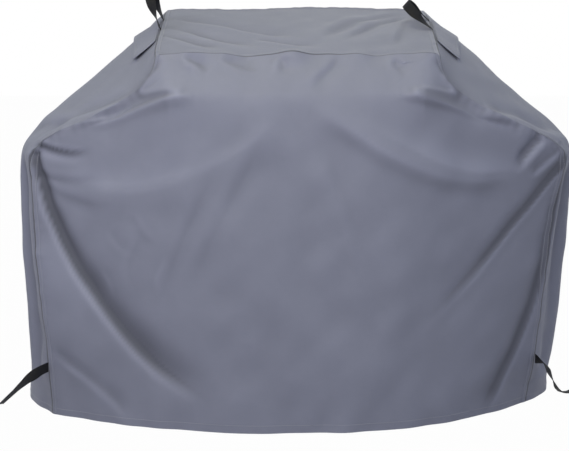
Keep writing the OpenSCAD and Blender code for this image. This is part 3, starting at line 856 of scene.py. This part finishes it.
class Group:
    def __init__(self, name, numbers):
        self.tree = bpy.data.node_groups.new(name, "GeometryNodeTree")
        self.ids = {}
        kinds = {"Geometry": "Geometry", **dict.fromkeys(numbers, "Float"), "Material": "Material"}
        for key, kind in kinds.items():
            item = self.tree.interface.new_socket(key, in_out="INPUT", socket_type="NodeSocket" + kind)
            self.ids[key] = item.identifier
        self.tree.interface.new_socket("Geometry", in_out="OUTPUT", socket_type="NodeSocketGeometry")
        self.given = self.tree.nodes.new("NodeGroupInput").outputs

    def node(self, kind, sockets=None, family="GeometryNode", **settings):
        return makeNode(self.tree, family + kind, sockets, **settings)[0]

    def turned(self, kind, **settings):
        # the cloth's own way up, and the turn to it
        up = self.node("InputNamedAttribute", {"Name": "up"}, data_type="FLOAT_VECTOR")
        sockets = {0: up, 1: self.node("InputTangent")} if kind == "AxesToRotation" else {"Vector": up}
        return self.node(kind, sockets, "FunctionNode", **settings)

    def finish(self, geometry):
        real = self.node("RealizeInstances", {0: geometry})
        rounded = self.node("SetShadeSmooth", {"Geometry": real})
        painted = self.node("SetMaterial", {"Geometry": rounded, "Material": self.given["Material"]})
        self.tree.links.new(painted, self.tree.nodes.new("NodeGroupOutput").inputs[0])
        return self


def stitchGroup():
    # evenly spaced thread along every edge chain, turned to the cloth's own normal
    group = Group("stitches", ["Pitch", "Length", "Width"])
    given = group.given
    curve = group.node("MeshToCurve", {0: given["Geometry"]})
    spaced = group.node("ResampleCurve", {"Curve": curve, "Length": given["Pitch"]}, mode="LENGTH")
    turned = group.turned("AxesToRotation", primary_axis="Z", secondary_axis="X")
    bead = group.node("MeshIcoSphere", {"Radius": 0.5, "Subdivisions": 1})
    flat = group.node("Math", {0: given["Width"], 1: 0.7}, "ShaderNode", operation="MULTIPLY")
    size = group.node("CombineXYZ", {0: given["Length"], 1: given["Width"], 2: flat}, "ShaderNode")
    return group.finish(group.node("InstanceOnPoints", {
        "Points": spaced, "Instance": bead, "Rotation": turned, "Scale": size,
    }))


def netGroup():
    # a round strand along every edge of a grid
    group = Group("net", ["Strand"])
    curve = group.node("MeshToCurve", {0: group.given["Geometry"]})
    ring = group.node("CurvePrimitiveCircle", {"Resolution": 4, "Radius": group.given["Strand"]})
    return group.finish(group.node("CurveToMesh", {"Curve": curve, "Profile Curve": ring}))


hookShape = {"Vertices": 5, "Radius Top": .00012, "Radius Bottom": .00035}


def hookGroup():
    # a stiff little hook on every point of a grid
    group = Group("hooks", ["High"])
    given = group.given
    turned = group.turned("AlignRotationToVector", axis="Z")
    cone = group.node("MeshCone", {**hookShape, "Depth": given["High"]})
    return group.finish(group.node("InstanceOnPoints", {
        "Points": given["Geometry"], "Instance": cone, "Rotation": turned,
    }))


groups = {"stitches": stitchGroup(), "net": netGroup(), "hooks": hookGroup()}


def grown(name, points, edges, ups, kind, numbers, look):
    # runs a node tree on a wire of points, and keeps its result as a plain mesh
    wire = bpy.data.meshes.new(name + " wire")
    wire.from_pydata(np.asarray(points).tolist(), np.asarray(edges).tolist(), [])
    upward = wire.attributes.new("up", "FLOAT_VECTOR", "POINT")
    upward.data.foreach_set("vector", np.asarray(ups, float).ravel())
    piece = addObject(name, wire)
    group = groups[kind]
    modifier = piece.modifiers.new("grow", "NODES")
    modifier.node_group = group.tree
    for key, value in numbers.items():
        modifier[group.ids[key]] = value
    modifier[group.ids["Material"]] = looks[look]
    bpy.context.view_layer.update()
    result = bpy.data.meshes.new_from_object(piece.evaluated_get(bpy.context.evaluated_depsgraph_get()))
    result.name = name
    piece.modifiers.remove(modifier)
    piece.data = result
    bpy.data.meshes.remove(wire)
    return piece


class Chains:
    # open lines of points that stitches or strands follow
    def __init__(self):
        self.points, self.ups, self.edges = [], [], []

    def add(self, points, ups):
        start = len(self.points)
        self.points += list(np.asarray(points))
        self.ups += list(np.broadcast_to(ups, np.shape(points)))
        self.edges += [(k, k + 1) for k in range(start, start + len(points) - 1)]


thread = {"Pitch": .0046, "Length": .0034, "Width": .0013, "high": .0002}


def sew(name, chains, look="thread"):
    numbers = {key: thread[key] for key in ("Pitch", "Length", "Width")}
    return grown(name, chains.points, chains.edges, chains.ups, "stitches", numbers, look)


def stayOn(piece, body, slot, *nodes):
    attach(piece, body)
    if nodes:
        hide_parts(*nodes)
    return piece


slopeLong = math.hypot(
    cover["halfWidth"] - cover["roofHalf"],
    (cover["roofFrontHigh"] + cover["roofBackHigh"]) / 2 + cover["crown"] / 4 - cover["shelfHigh"],
)
roofDeep = cover["roofBackY"] - cover["roofFrontY"]
seamUp = 2 - vents["seam"] / slopeLong
ventUp = seamUp - vents["wide"] / slopeLong
ventFrom = (vents["back"] - vents["long"] / 2) / roofDeep
ventTo = (vents["back"] + vents["long"] / 2) / roofDeep
hem = {"width": .018, "thick": .0012, "gap": .0001, "stitch": .016}
bandShape = {"width": .0125, "high": .0011, "rows": (.0022, .0100), "clear": .00004, "worn": .15}
tapeShape = {"half": .007, "thick": .0004, "gap": .0001}


def acrossShare(panel, up, metres):
    # how much of a panel's own half width or depth some metres are, at each height
    if panel == "roof":
        return metres / cover["roofHalf"]
    if panel in ("front", "back"):
        seam = frontSeam(up, 1) if panel == "front" else backSeam(up)
        return metres / seam[..., 0]
    return metres / (backSeam(up)[..., 1] - frontSeam(up, 1 if panel == "right" else -1)[..., 1])


panelNodes = {
    "front": "front_panel", "back": "back_panel", "roof": "roof_panel",
    "left": "left_side_panel", "right": "right_side_panel",
}
pieces = {}
for panel, node in panelNodes.items():
    outer = cloth[panel]
    inner = outer - outward(outer) * cover["thick"]
    keep = None
    if panel in ("left", "right"):
        ups, overs = stations[panel]
        middleUp = (ups[1:] + ups[:-1]) / 2
        middleOver = (overs[1:] + overs[:-1]) / 2
        inRows = (middleUp > ventUp) & (middleUp < seamUp)
        inColumns = (middleOver > ventFrom) & (middleOver < ventTo)
        keep = ~(inRows[:, None] & inColumns)
    piece = slab(panel + "Cloth", outer, inner, "fabric", keep, creaseShade[panel])
    pieces[panel] = stayOn(piece, "cover", "cover_fabric", node)
print("panels done")


def addHem(panel):
    overs = stations[panel][1]
    rows = np.linspace(0, hem["width"] / cover["shelfHigh"], 6)
    over, up = np.meshgrid(overs, rows)
    outer = onCloth(panel, over, up)
    away = outward(outer)
    start = cover["thick"] + hem["gap"]
    piece = slab(panel + "Hem", outer - away * start, outer - away * (start + hem["thick"]), "lining")
    return stayOn(piece, "cover", "hem_lining", panel + "_hem")


hems = {panel: addHem(panel) for panel in ("front", "back", "left", "right")}


bandSteps = np.array([0, .06, .12, .18, .24, .34, .5, .64, .74, .80, .86, .94, 1.0])
bandHeights = np.array([.25, .80, .95, .55, .92, 1.0, 1.0, 1.0, .92, .55, .95, .80, .15])


def addBand(name, panel, overs, ups, inwardOver, inwardUp):
    # a raised strip beside a seam; inwardOver and inwardUp lead from the seam to the strip's far edge
    overs, ups, inwardOver, inwardUp = np.broadcast_arrays(overs, ups, inwardOver, inwardUp)
    over = overs[:, None] + inwardOver[:, None] * bandSteps
    up = ups[:, None] + inwardUp[:, None] * bandSteps
    still = flatAtHandles(onCloth(panel, over, up).reshape(-1, 3)).reshape(over.shape)
    high = 3 * bandShape["clear"] + bandHeights * bandShape["high"] * still
    outer = onCloth(panel, over, up, high)
    inner = onCloth(panel, over, up, bandShape["clear"])
    for face in (outer, inner):
        face[..., 2] = np.maximum(face[..., 2], 0)
    # the strip comes out a little paler, and takes the folds' painted shade
    bendsAndShade = bandShape["worn"] + sample(shadows[panel][..., None], panel, over, up)[..., 0]
    bendsAndShade[:, :3] = seamShadow               # a painted shadow on the line where the seam turns under
    piece = slab(name, outer, inner, "band", None, bendsAndShade)
    chains = Chains()
    for metres in bandShape["rows"]:
        share = metres / bandShape["width"]
        line = (overs + inwardOver * share)[1:-1], (ups + inwardUp * share)[1:-1]
        high = np.interp(share, bandSteps, bandHeights) * bandShape["high"]
        high = high * flatAtHandles(onCloth(panel, *line)) + thread["high"]
        chains.add(onCloth(panel, *line, high), clothNormal(panel, *line))
    stitches = stayOn(sew(name + "Stitches", chains), "cover", "cover_fabric")
    return stayOn(piece, "cover", "cover_fabric"), stitches


sides = (-1, "Left"), (1, "Right")
faces = ("front", 0), ("back", 1)
bands = {panel: [] for panel in panelNodes}
upLine = np.linspace(0, 2, 260)
for panel in ("front", "back"):
    for side, word in sides:
        share = acrossShare(panel, upLine, bandShape["width"])
        bands[panel] += addBand(panel + word + "Seam", panel, side, upLine, -side * share, 0)
inset = bandShape["width"] / cover["roofHalf"]
widthLine = np.linspace(-1 + inset, 1 - inset, 180)
for side, word in sides:
    bands["roof"] += addBand("roof" + word + "Seam", "roof", side, np.linspace(0, 1, 110), -side * inset, 0)
for panel, end in faces:
    step = bandShape["width"] / roofDeep * (1 - 2 * end)
    bands["roof"] += addBand("roof" + panel.title() + "Seam", "roof", widthLine, end, 0, step)

# one row of stitches holds the hem
for panel in hems:
    chains = Chains()
    line = np.linspace(stations[panel][1][0], 1, 300), hem["stitch"] / cover["shelfHigh"]
    chains.add(onCloth(panel, *line, thread["high"] / 2), clothNormal(panel, *line))
    bands[panel].append(stayOn(sew(panel + "HemStitches", chains), "cover", "cover_fabric"))
print("seams done")


def addTape(name, node, *halves):
    # each half is a panel, with the places of the tape's rows across it and along it
    grid = np.stack([onCloth(panel, over, up) for panel, overs, ups in halves
                     for over, up in zip(overs, ups)], axis=1)
    away = outward(grid)
    start = cover["thick"] + tapeShape["gap"]
    piece = slab(name, grid - away * start, grid - away * (start + tapeShape["thick"]), "tape")
    stayOn(piece, "cover", "seam_tape", node)


half = tapeShape["half"]
lower = np.array([[1], [.5], [0]])          # the seam's own row belongs to the lower panel
upper = np.array([[.5], [1]])
upLine = np.linspace(hem["width"] * 1.3 / cover["shelfHigh"], 1.985, 150)
inset = 2 * half / cover["roofHalf"]
widthLine = np.linspace(-1 + inset, 1 - inset, 160)
depthLine = np.linspace(2 * half / roofDeep, 1 - 2 * half / roofDeep, 90)
for panel, end in faces:
    for side, word in sides:
        flank = word.lower()
        near = side * (1 - acrossShare(panel, upLine, half) * lower)
        beside = abs(end - acrossShare(flank, upLine, half) * upper)
        addTape(panel + word + "Tape", f"{panel}_{flank}_seam_tape",
                (panel, near, [upLine] * 3), (flank, beside, [upLine] * 2))
for panel, end in faces:
    addTape("roof" + panel.title() + "Tape", f"roof_{panel}_seam_tape",
            (panel, [widthLine] * 3, 2 - half / slopeLong * lower),
            ("roof", [widthLine] * 2, abs(end - half / roofDeep * upper)))
for side, word in sides:
    flank = word.lower()
    addTape("roof" + word + "Tape", f"roof_{flank}_seam_tape",
            (flank, [depthLine] * 3, 2 - half / slopeLong * lower),
            ("roof", side * (1 - half / cover["roofHalf"] * upper), [depthLine] * 2))
print("tapes done")


net = {"cell": .0025, "strand": .00028}
flapFrom = ventFrom - vents["flapMargin"] / roofDeep
flapTo = ventTo + vents["flapMargin"] / roofDeep
flapUp = 2 - vents["seam"] / 2 / slopeLong
flapDown = ventUp - vents["flapMargin"] / slopeLong


def addNet(panel):
    long = vents["long"] + 2 * vents["margin"]
    wide = vents["wide"] + vents["margin"]
    columns = int(long / net["cell"])
    rows = int(wide / net["cell"])
    marginOver = vents["margin"] / roofDeep
    over, up = np.meshgrid(
        np.linspace(ventFrom - marginOver, ventTo + marginOver, columns),
        np.linspace(ventUp - vents["margin"] / slopeLong, seamUp, rows),
    )
    points = onCloth(panel, over, up).reshape(-1, 3)
    points = points - outward(points) * (cover["thick"] + 2 * net["strand"])
    ids = np.arange(rows * columns).reshape(rows, columns)
    edges = np.concatenate([
        np.stack([ids[:, :-1], ids[:, 1:]], -1).reshape(-1, 2),
        np.stack([ids[:-1], ids[1:]], -1).reshape(-1, 2),
    ])
    piece = grown(panel + "VentNet", points, edges, outward(points), "net",
                  {"Strand": net["strand"]}, "net")
    stayOn(piece, "cover", "vent_mesh", panel + "_vent_mesh")


def flapPoint(panel, over, down, high=0.0):
    # the flap hangs straight between its ends, and its free edge stands off most near the back
    up = mix(flapUp, flapDown, down)
    ends = [sample(smooth[panel], panel, np.full_like(up, end), up) for end in (flapFrom, flapTo)]
    chord = mix(ends[0], ends[1], over[..., None])
    middle = np.full(1, (flapFrom + flapTo) / 2)
    top = np.full(1, flapUp)
    hinge = sample(smooth[panel], panel, middle, top)
    out = outward(hinge)
    topEnds = [sample(smooth[panel], panel, np.full(1, end), top) for end in (flapFrom, flapTo)]
    clear = vents["gap"] + ((hinge - (topEnds[0] + topEnds[1]) / 2) * out).sum()
    ripple = vents["ripple"] * down * np.sin(over * vents["rippleTurn"] + vents["rippleFrom"])
    ripple = ripple + vents["belly"] * down ** 2 * np.sin(over * math.pi)
    lift = clear + vents["lift"] * down * mix(*vents["liftShares"], over) + ripple + high
    return chord + out * lift[..., None]


def addFlap(panel):
    body = panel + "_flap"
    over, down = np.meshgrid(np.linspace(0, 1, 64), np.linspace(0, 1, 26))
    turned = smoothStep(.94, .96, down) + smoothStep(.06, .04, over) + smoothStep(.94, .96, over)
    high = cover["thick"] + vents["turned"] * np.minimum(turned, 1)
    outer, inner = [flapPoint(panel, over, down, lift) for lift in (high, 0.0)]
    flapCloth = slab(panel + "FlapCloth", outer, inner, "fabric")
    stayOn(flapCloth, body, "cover_fabric", panel + "_vent_flap")
    flapLong = (flapUp - flapDown) * slopeLong
    start = 1 - vents["stiffener"] / flapLong
    over, down = np.meshgrid(np.linspace(0.01, .99, 50), np.linspace(start, .995, 5))
    below = vents["stiffenerGap"], vents["stiffenerGap"] + vents["stiffenerThick"]
    outer, inner = [flapPoint(panel, over, down, -drop) for drop in below]
    strip = slab(panel + "FlapStiffener", outer, inner, "stiffener")
    stayOn(strip, body, "stiffener", panel + "_vent_stiffener")
    chains = Chains()
    long = np.linspace(.025, .975, 60)
    short = np.linspace(.06, .93, 30)
    for line in ((long, .93), (long, .06), (.03, short), (.97, short)):
        over, down = np.broadcast_arrays(*line)
        chains.add(flapPoint(panel, over, down, cover["thick"] + thread["high"]), outward(hangPoints[body]))
    stayOn(sew(panel + "FlapStitches", chains), body, "cover_fabric")
    return flapCloth, strip


for panel in ("left", "right"):
    addNet(panel)
flaps = {panel: addFlap(panel) for panel in ("left", "right")}
print("vents done")


def addHandle(panel):
    mirror = np.array([-1 if panel == "left" else 1, 1, 1])
    middle = handles["back"] / roofDeep
    half = handles["span"] / 2 / roofDeep
    start, end = [sidePoint(np.full(1, at), np.full(1, 2.0), 1)[0] for at in (middle - half, middle + half)]
    along = unit(end - start)
    up = unit(np.cross([1, 0, 0], along))
    lean = math.radians(handles["lean"][panel])
    foot = (start + end) / 2 + up * (handles["gap"] + handles["thick"] / 2 * math.sin(abs(lean)))
    up = up * math.cos(lean) + np.cross(along, up) * math.sin(lean)
    wide = np.cross(along, up)
    angle = np.linspace(0, math.pi, handles["steps"] + 1)
    rise = np.abs(np.sin(angle)) ** handles["round"]
    points = foot - np.cos(angle)[:, None] * along * handles["span"] / 2
    points = points + rise[:, None] * up * handles["high"]
    turn = smoothStep(0, math.radians(handles["turnBy"]), np.minimum(angle, math.pi - angle)) * math.pi / 2
    ahead = unit(np.gradient(points, axis=0))
    out = unit(np.cross(ahead, wide))
    out[0] = -along
    out[-1] = along
    across = unit(out * np.cos(turn)[:, None] + wide * np.sin(turn)[:, None])
    piece = ribbon(panel + "Handle", points * mirror, across * mirror, handles["width"],
                   -handles["thick"] / 2, handles["thick"] / 2, "webbing")
    stayOn(piece, panel + "_handle", "webbing", panel + "_handle")


for panel in ("left", "right"):
    addHandle(panel)


strapSize = {
    "long": .175, "width": .025, "thick": .0018, "steps": 70, "tape": .060, "tapeWidth": .84,
    "tapeThick": .0014, "backing": {"hook": .55, "loop": 1}, "threadHigh": {"hook": .6, "loop": 1},
    "threadAt": .37, "hooks": (30, 10), "hooksWide": .36,
}
straps = {
    "front_left": {
        "heading": [(0, -120), (.3, -123), (1, -131)], "dip": [(0, 0), (.25, 12), (.5, 22), (1, 28)],
        "turn": [(0, 0), (.2, 10), (.5, 84), (.7, 104), (1, 110)], "tape": "hook",
    },
    "front_right": {
        "heading": [(0, -50), (.3, -40), (.6, 20), (1, 60)],
        "dip": [(0, 0), (.1, 12), (.25, 58), (.55, 66), (.72, 14), (1, 2)],
        "turn": [(0, 0), (.12, 50), (.3, 84), (1, 88)], "tape": "hook",
    },
    "back_right": {
        "heading": [(0, 100), (.2, 150), (.6, 172), (1, 180)],
        "dip": [(0, 0), (.08, 40), (.2, 74), (.62, 80), (.74, 24), (1, 2)],
        "turn": [(0, 0), (.12, 50), (.3, 84), (1, 88)], "tape": "loop",
    },
}


def addStrap(corner):
    mirrored = corner == "back_left"
    mirror = np.array([-1 if mirrored else 1, 1, 1])
    fall = straps["back_right" if mirrored else corner]
    body = corner + "_strap"
    name = "".join(word.title() if n else word for n, word in enumerate(corner.split("_")))
    steps = strapSize["steps"]

    def strapWay(share):
        heading, dip = [np.radians(np.interp(share, *zip(*fall[key]))) for key in ("heading", "dip")]
        return place(np.cos(heading) * np.cos(dip), np.sin(heading) * np.cos(dip), -np.sin(dip))

    ways = strapWay((np.arange(steps) + 0.5) / steps)
    reach = np.concatenate([np.zeros((1, 3)), np.cumsum(ways, axis=0)]) * strapSize["long"] / steps
    points = hangPoints[body] + reach * mirror
    share = np.arange(steps + 1) / steps
    way = strapWay(share)
    level = unit(np.cross(way, [0, 0, 1]))
    rise = unit(np.cross(level, way))
    turn = np.radians(np.interp(share, *zip(*fall["turn"])))[:, None]
    across = (rise * np.cos(turn) + level * np.sin(turn)) * mirror
    half = strapSize["thick"] / 2
    width = strapSize["width"]
    web = ribbon(name + "Strap", points, across, width, -half, half, "webbing")
    stayOn(web, body, "webbing", body)
    # the tape, its two rows of stitches and its hooks at the strap's end
    kind = fall["tape"]
    first = steps - round(steps * strapSize["tape"] / strapSize["long"])
    low = -half if mirrored else half
    high = low + math.copysign(strapSize["tapeThick"], low)
    tape = ribbon(name + kind.title() + "Tape", points[first:], across[first:],
                  width * strapSize["tapeWidth"], low, mix(low, high, strapSize["backing"][kind]), kind)
    stayOn(tape, body, kind + "_tape", f"{corner}_{kind}_tape")
    face = unit(np.cross(unit(np.gradient(points, axis=0)), across))
    chains = Chains()
    for edge in (-1, 1):
        line = points + across * edge * width * strapSize["threadAt"]
        line = line + face * mix(low, high, strapSize["threadHigh"][kind])
        chains.add(line[first + 1:], face[first + 1:])
    stayOn(sew(name + "StrapStitches", chains, "blackThread"), body, "webbing")
    if kind == "hook":
        along, rows = strapSize["hooks"]
        at = np.linspace(first + 1, steps - 1, along)
        base, wide, out = [readAt(grid, at)[:, None] for grid in (points, across, face)]
        rows = np.linspace(-1, 1, rows)[:, None] * strapSize["hooksWide"] * width
        spots = base + wide * rows + out * mix(low, high, .5)
        hooks = grown(name + "Hooks", spots.reshape(-1, 3), np.zeros((0, 2), int),
                      np.broadcast_to(out, spots.shape).reshape(-1, 3), "hooks",
                      {"High": strapSize["tapeThick"] * 0.5}, "hook")
        stayOn(hooks, body, "hook_tape")


for corner in ("front_left", "front_right", "back_left", "back_right"):
    addStrap(corner)
print("webbing done")


def cutSize(grid):
    rows = lengthsAlong(np.moveaxis(grid, 1, 0))[-1]
    columns = lengthsAlong(grid)[-1]
    sideA = grid[1:, 1:] - grid[:-1, :-1]
    sideB = grid[1:, :-1] - grid[:-1, 1:]
    area = np.linalg.norm(np.cross(sideA, sideB), axis=-1).sum() / 2
    return (float(rows.max()), float(columns.max())), float(area)


def declare(piece, grid):
    flat, area = cutSize(grid)
    area = min(area, flat[0] * flat[1])
    print(f"{piece.name}: cut {flat[0]:.3f} by {flat[1]:.3f} m, {area:.3f} square metres")


declare(pieces["roof"], smooth["roof"])
for panel in ("front", "back", "left", "right"):
    declare(pieces[panel], smooth[panel])
    over, up = np.meshgrid(stations[panel][1], np.linspace(0, hem["width"] / cover["shelfHigh"], 4))
    declare(hems[panel], sample(smooth[panel], panel, over, up))
for panel, (flapCloth, strip) in flaps.items():
    over, down = np.meshgrid(np.linspace(0, 1, 20), np.linspace(0, 1, 10))
    declare(flapCloth, flapPoint(panel, over, down))


# the camera and glossy rays see the stage as white, and diffuse light meets a dark grey one
stageTone = {"dull": (.16, .16, .16, 1), "glow": (1, 1, 1, 1), "share": 0.985}
stageLook = Look("white stage")
seen = stageLook.node("LightPath", output=0)
mirrored = stageLook.node("LightPath", output=3)
diffuse = stageLook.node("BsdfDiffuse", {"Color": stageTone["dull"]})
glow = stageLook.node("Emission", {"Color": stageTone["glow"], "Strength": 1.0})
share = (seen + mirrored).sum("MINIMUM", 1.0) * stageTone["share"]
stageLook.finish(stageLook.node("MixShader", {0: share, 1: diffuse, 2: glow}))

floorMesh = bpy.data.meshes.new("floor")
floorCorners = [(x, y, -.0005) for x, y in ((-9, -7), (9, -7), (9, 9), (-9, 9))]
floorMesh.from_pydata(floorCorners, [], [(0, 1, 2, 3)])
floorMesh.materials.append(stageLook.material)
floor = addObject("floor", floorMesh)

skyLight = {"colour": (.79, .84, .98, 1), "strength": 0.56}
world = bpy.data.worlds.new("studio")
world.use_nodes = True
bpy.context.scene.world = world
tree = world.node_tree
back = tree.nodes["Background"]
back.inputs["Color"].default_value = skyLight["colour"]
back.inputs["Strength"].default_value = skyLight["strength"]
white = makeNode(tree, "ShaderNodeBackground", {"Color": (1, 1, 1, 1), "Strength": 1.0})[0]
seen = makeNode(tree, "ShaderNodeLightPath")["Is Camera Ray"]
mixed = makeNode(tree, "ShaderNodeMixShader", {0: seen, 1: back.outputs[0], 2: white})[0]
tree.links.new(mixed, tree.nodes["World Output"].inputs["Surface"])

lamps = {
    "top": {"at": (-.5, -.4, 3.4), "aim": (0, 0, .5), "size": 2.2, "watts": 17, "colour": (1, .94, .20)},
    "front": {
        "at": (-.4, -2.0, 1.95), "aim": (0, 0, .6), "size": 1.3, "watts": 21.5, "colour": (1, .98, .94),
    },
    "right": {
        "at": (1.5, -3.2, 1.5), "aim": (.2, 0, .5), "size": 1.5, "watts": 13, "colour": (.97, .98, 1),
    },
    "left": {"at": (-2.2, -1.8, 1.9), "aim": (0, 0, .5), "size": 1.5, "watts": 15.5, "colour": (1, .96, 1)},
    "behind": {"at": (.6, 2.8, 1.5), "aim": (0, 0, .4), "size": 1.6, "watts": 9, "colour": (1, .99, .96)},
}
for name, lamp in lamps.items():
    light = bpy.data.lights.new(name, "AREA")
    light.size = lamp["size"]
    light.energy = lamp["watts"]
    light.color = lamp["colour"]
    holder = addObject(name + "Lamp", light)
    aim = np.array(lamp["aim"]) - np.array(lamp["at"])
    away = math.hypot(aim[0], aim[1])
    holder.location = lamp["at"]
    holder.rotation_euler = (math.atan2(away, -aim[2]), 0, math.atan2(aim[1], aim[0]) - math.pi / 2)

view = {"at": (-.03, -3.69, 1.127), "down": 10.4, "lens": 92, "shift": .0097}
cameraData = bpy.data.cameras.new("view")
cameraData.lens = view["lens"]
cameraData.sensor_width = 36
cameraData.shift_y = view["shift"]
camera = addObject("view", cameraData)
camera.location = view["at"]
camera.rotation_euler = (math.radians(90 - view["down"]), 0, 0)
bpy.context.scene.camera = camera
bpy.context.scene.view_settings.view_transform = "Standard"
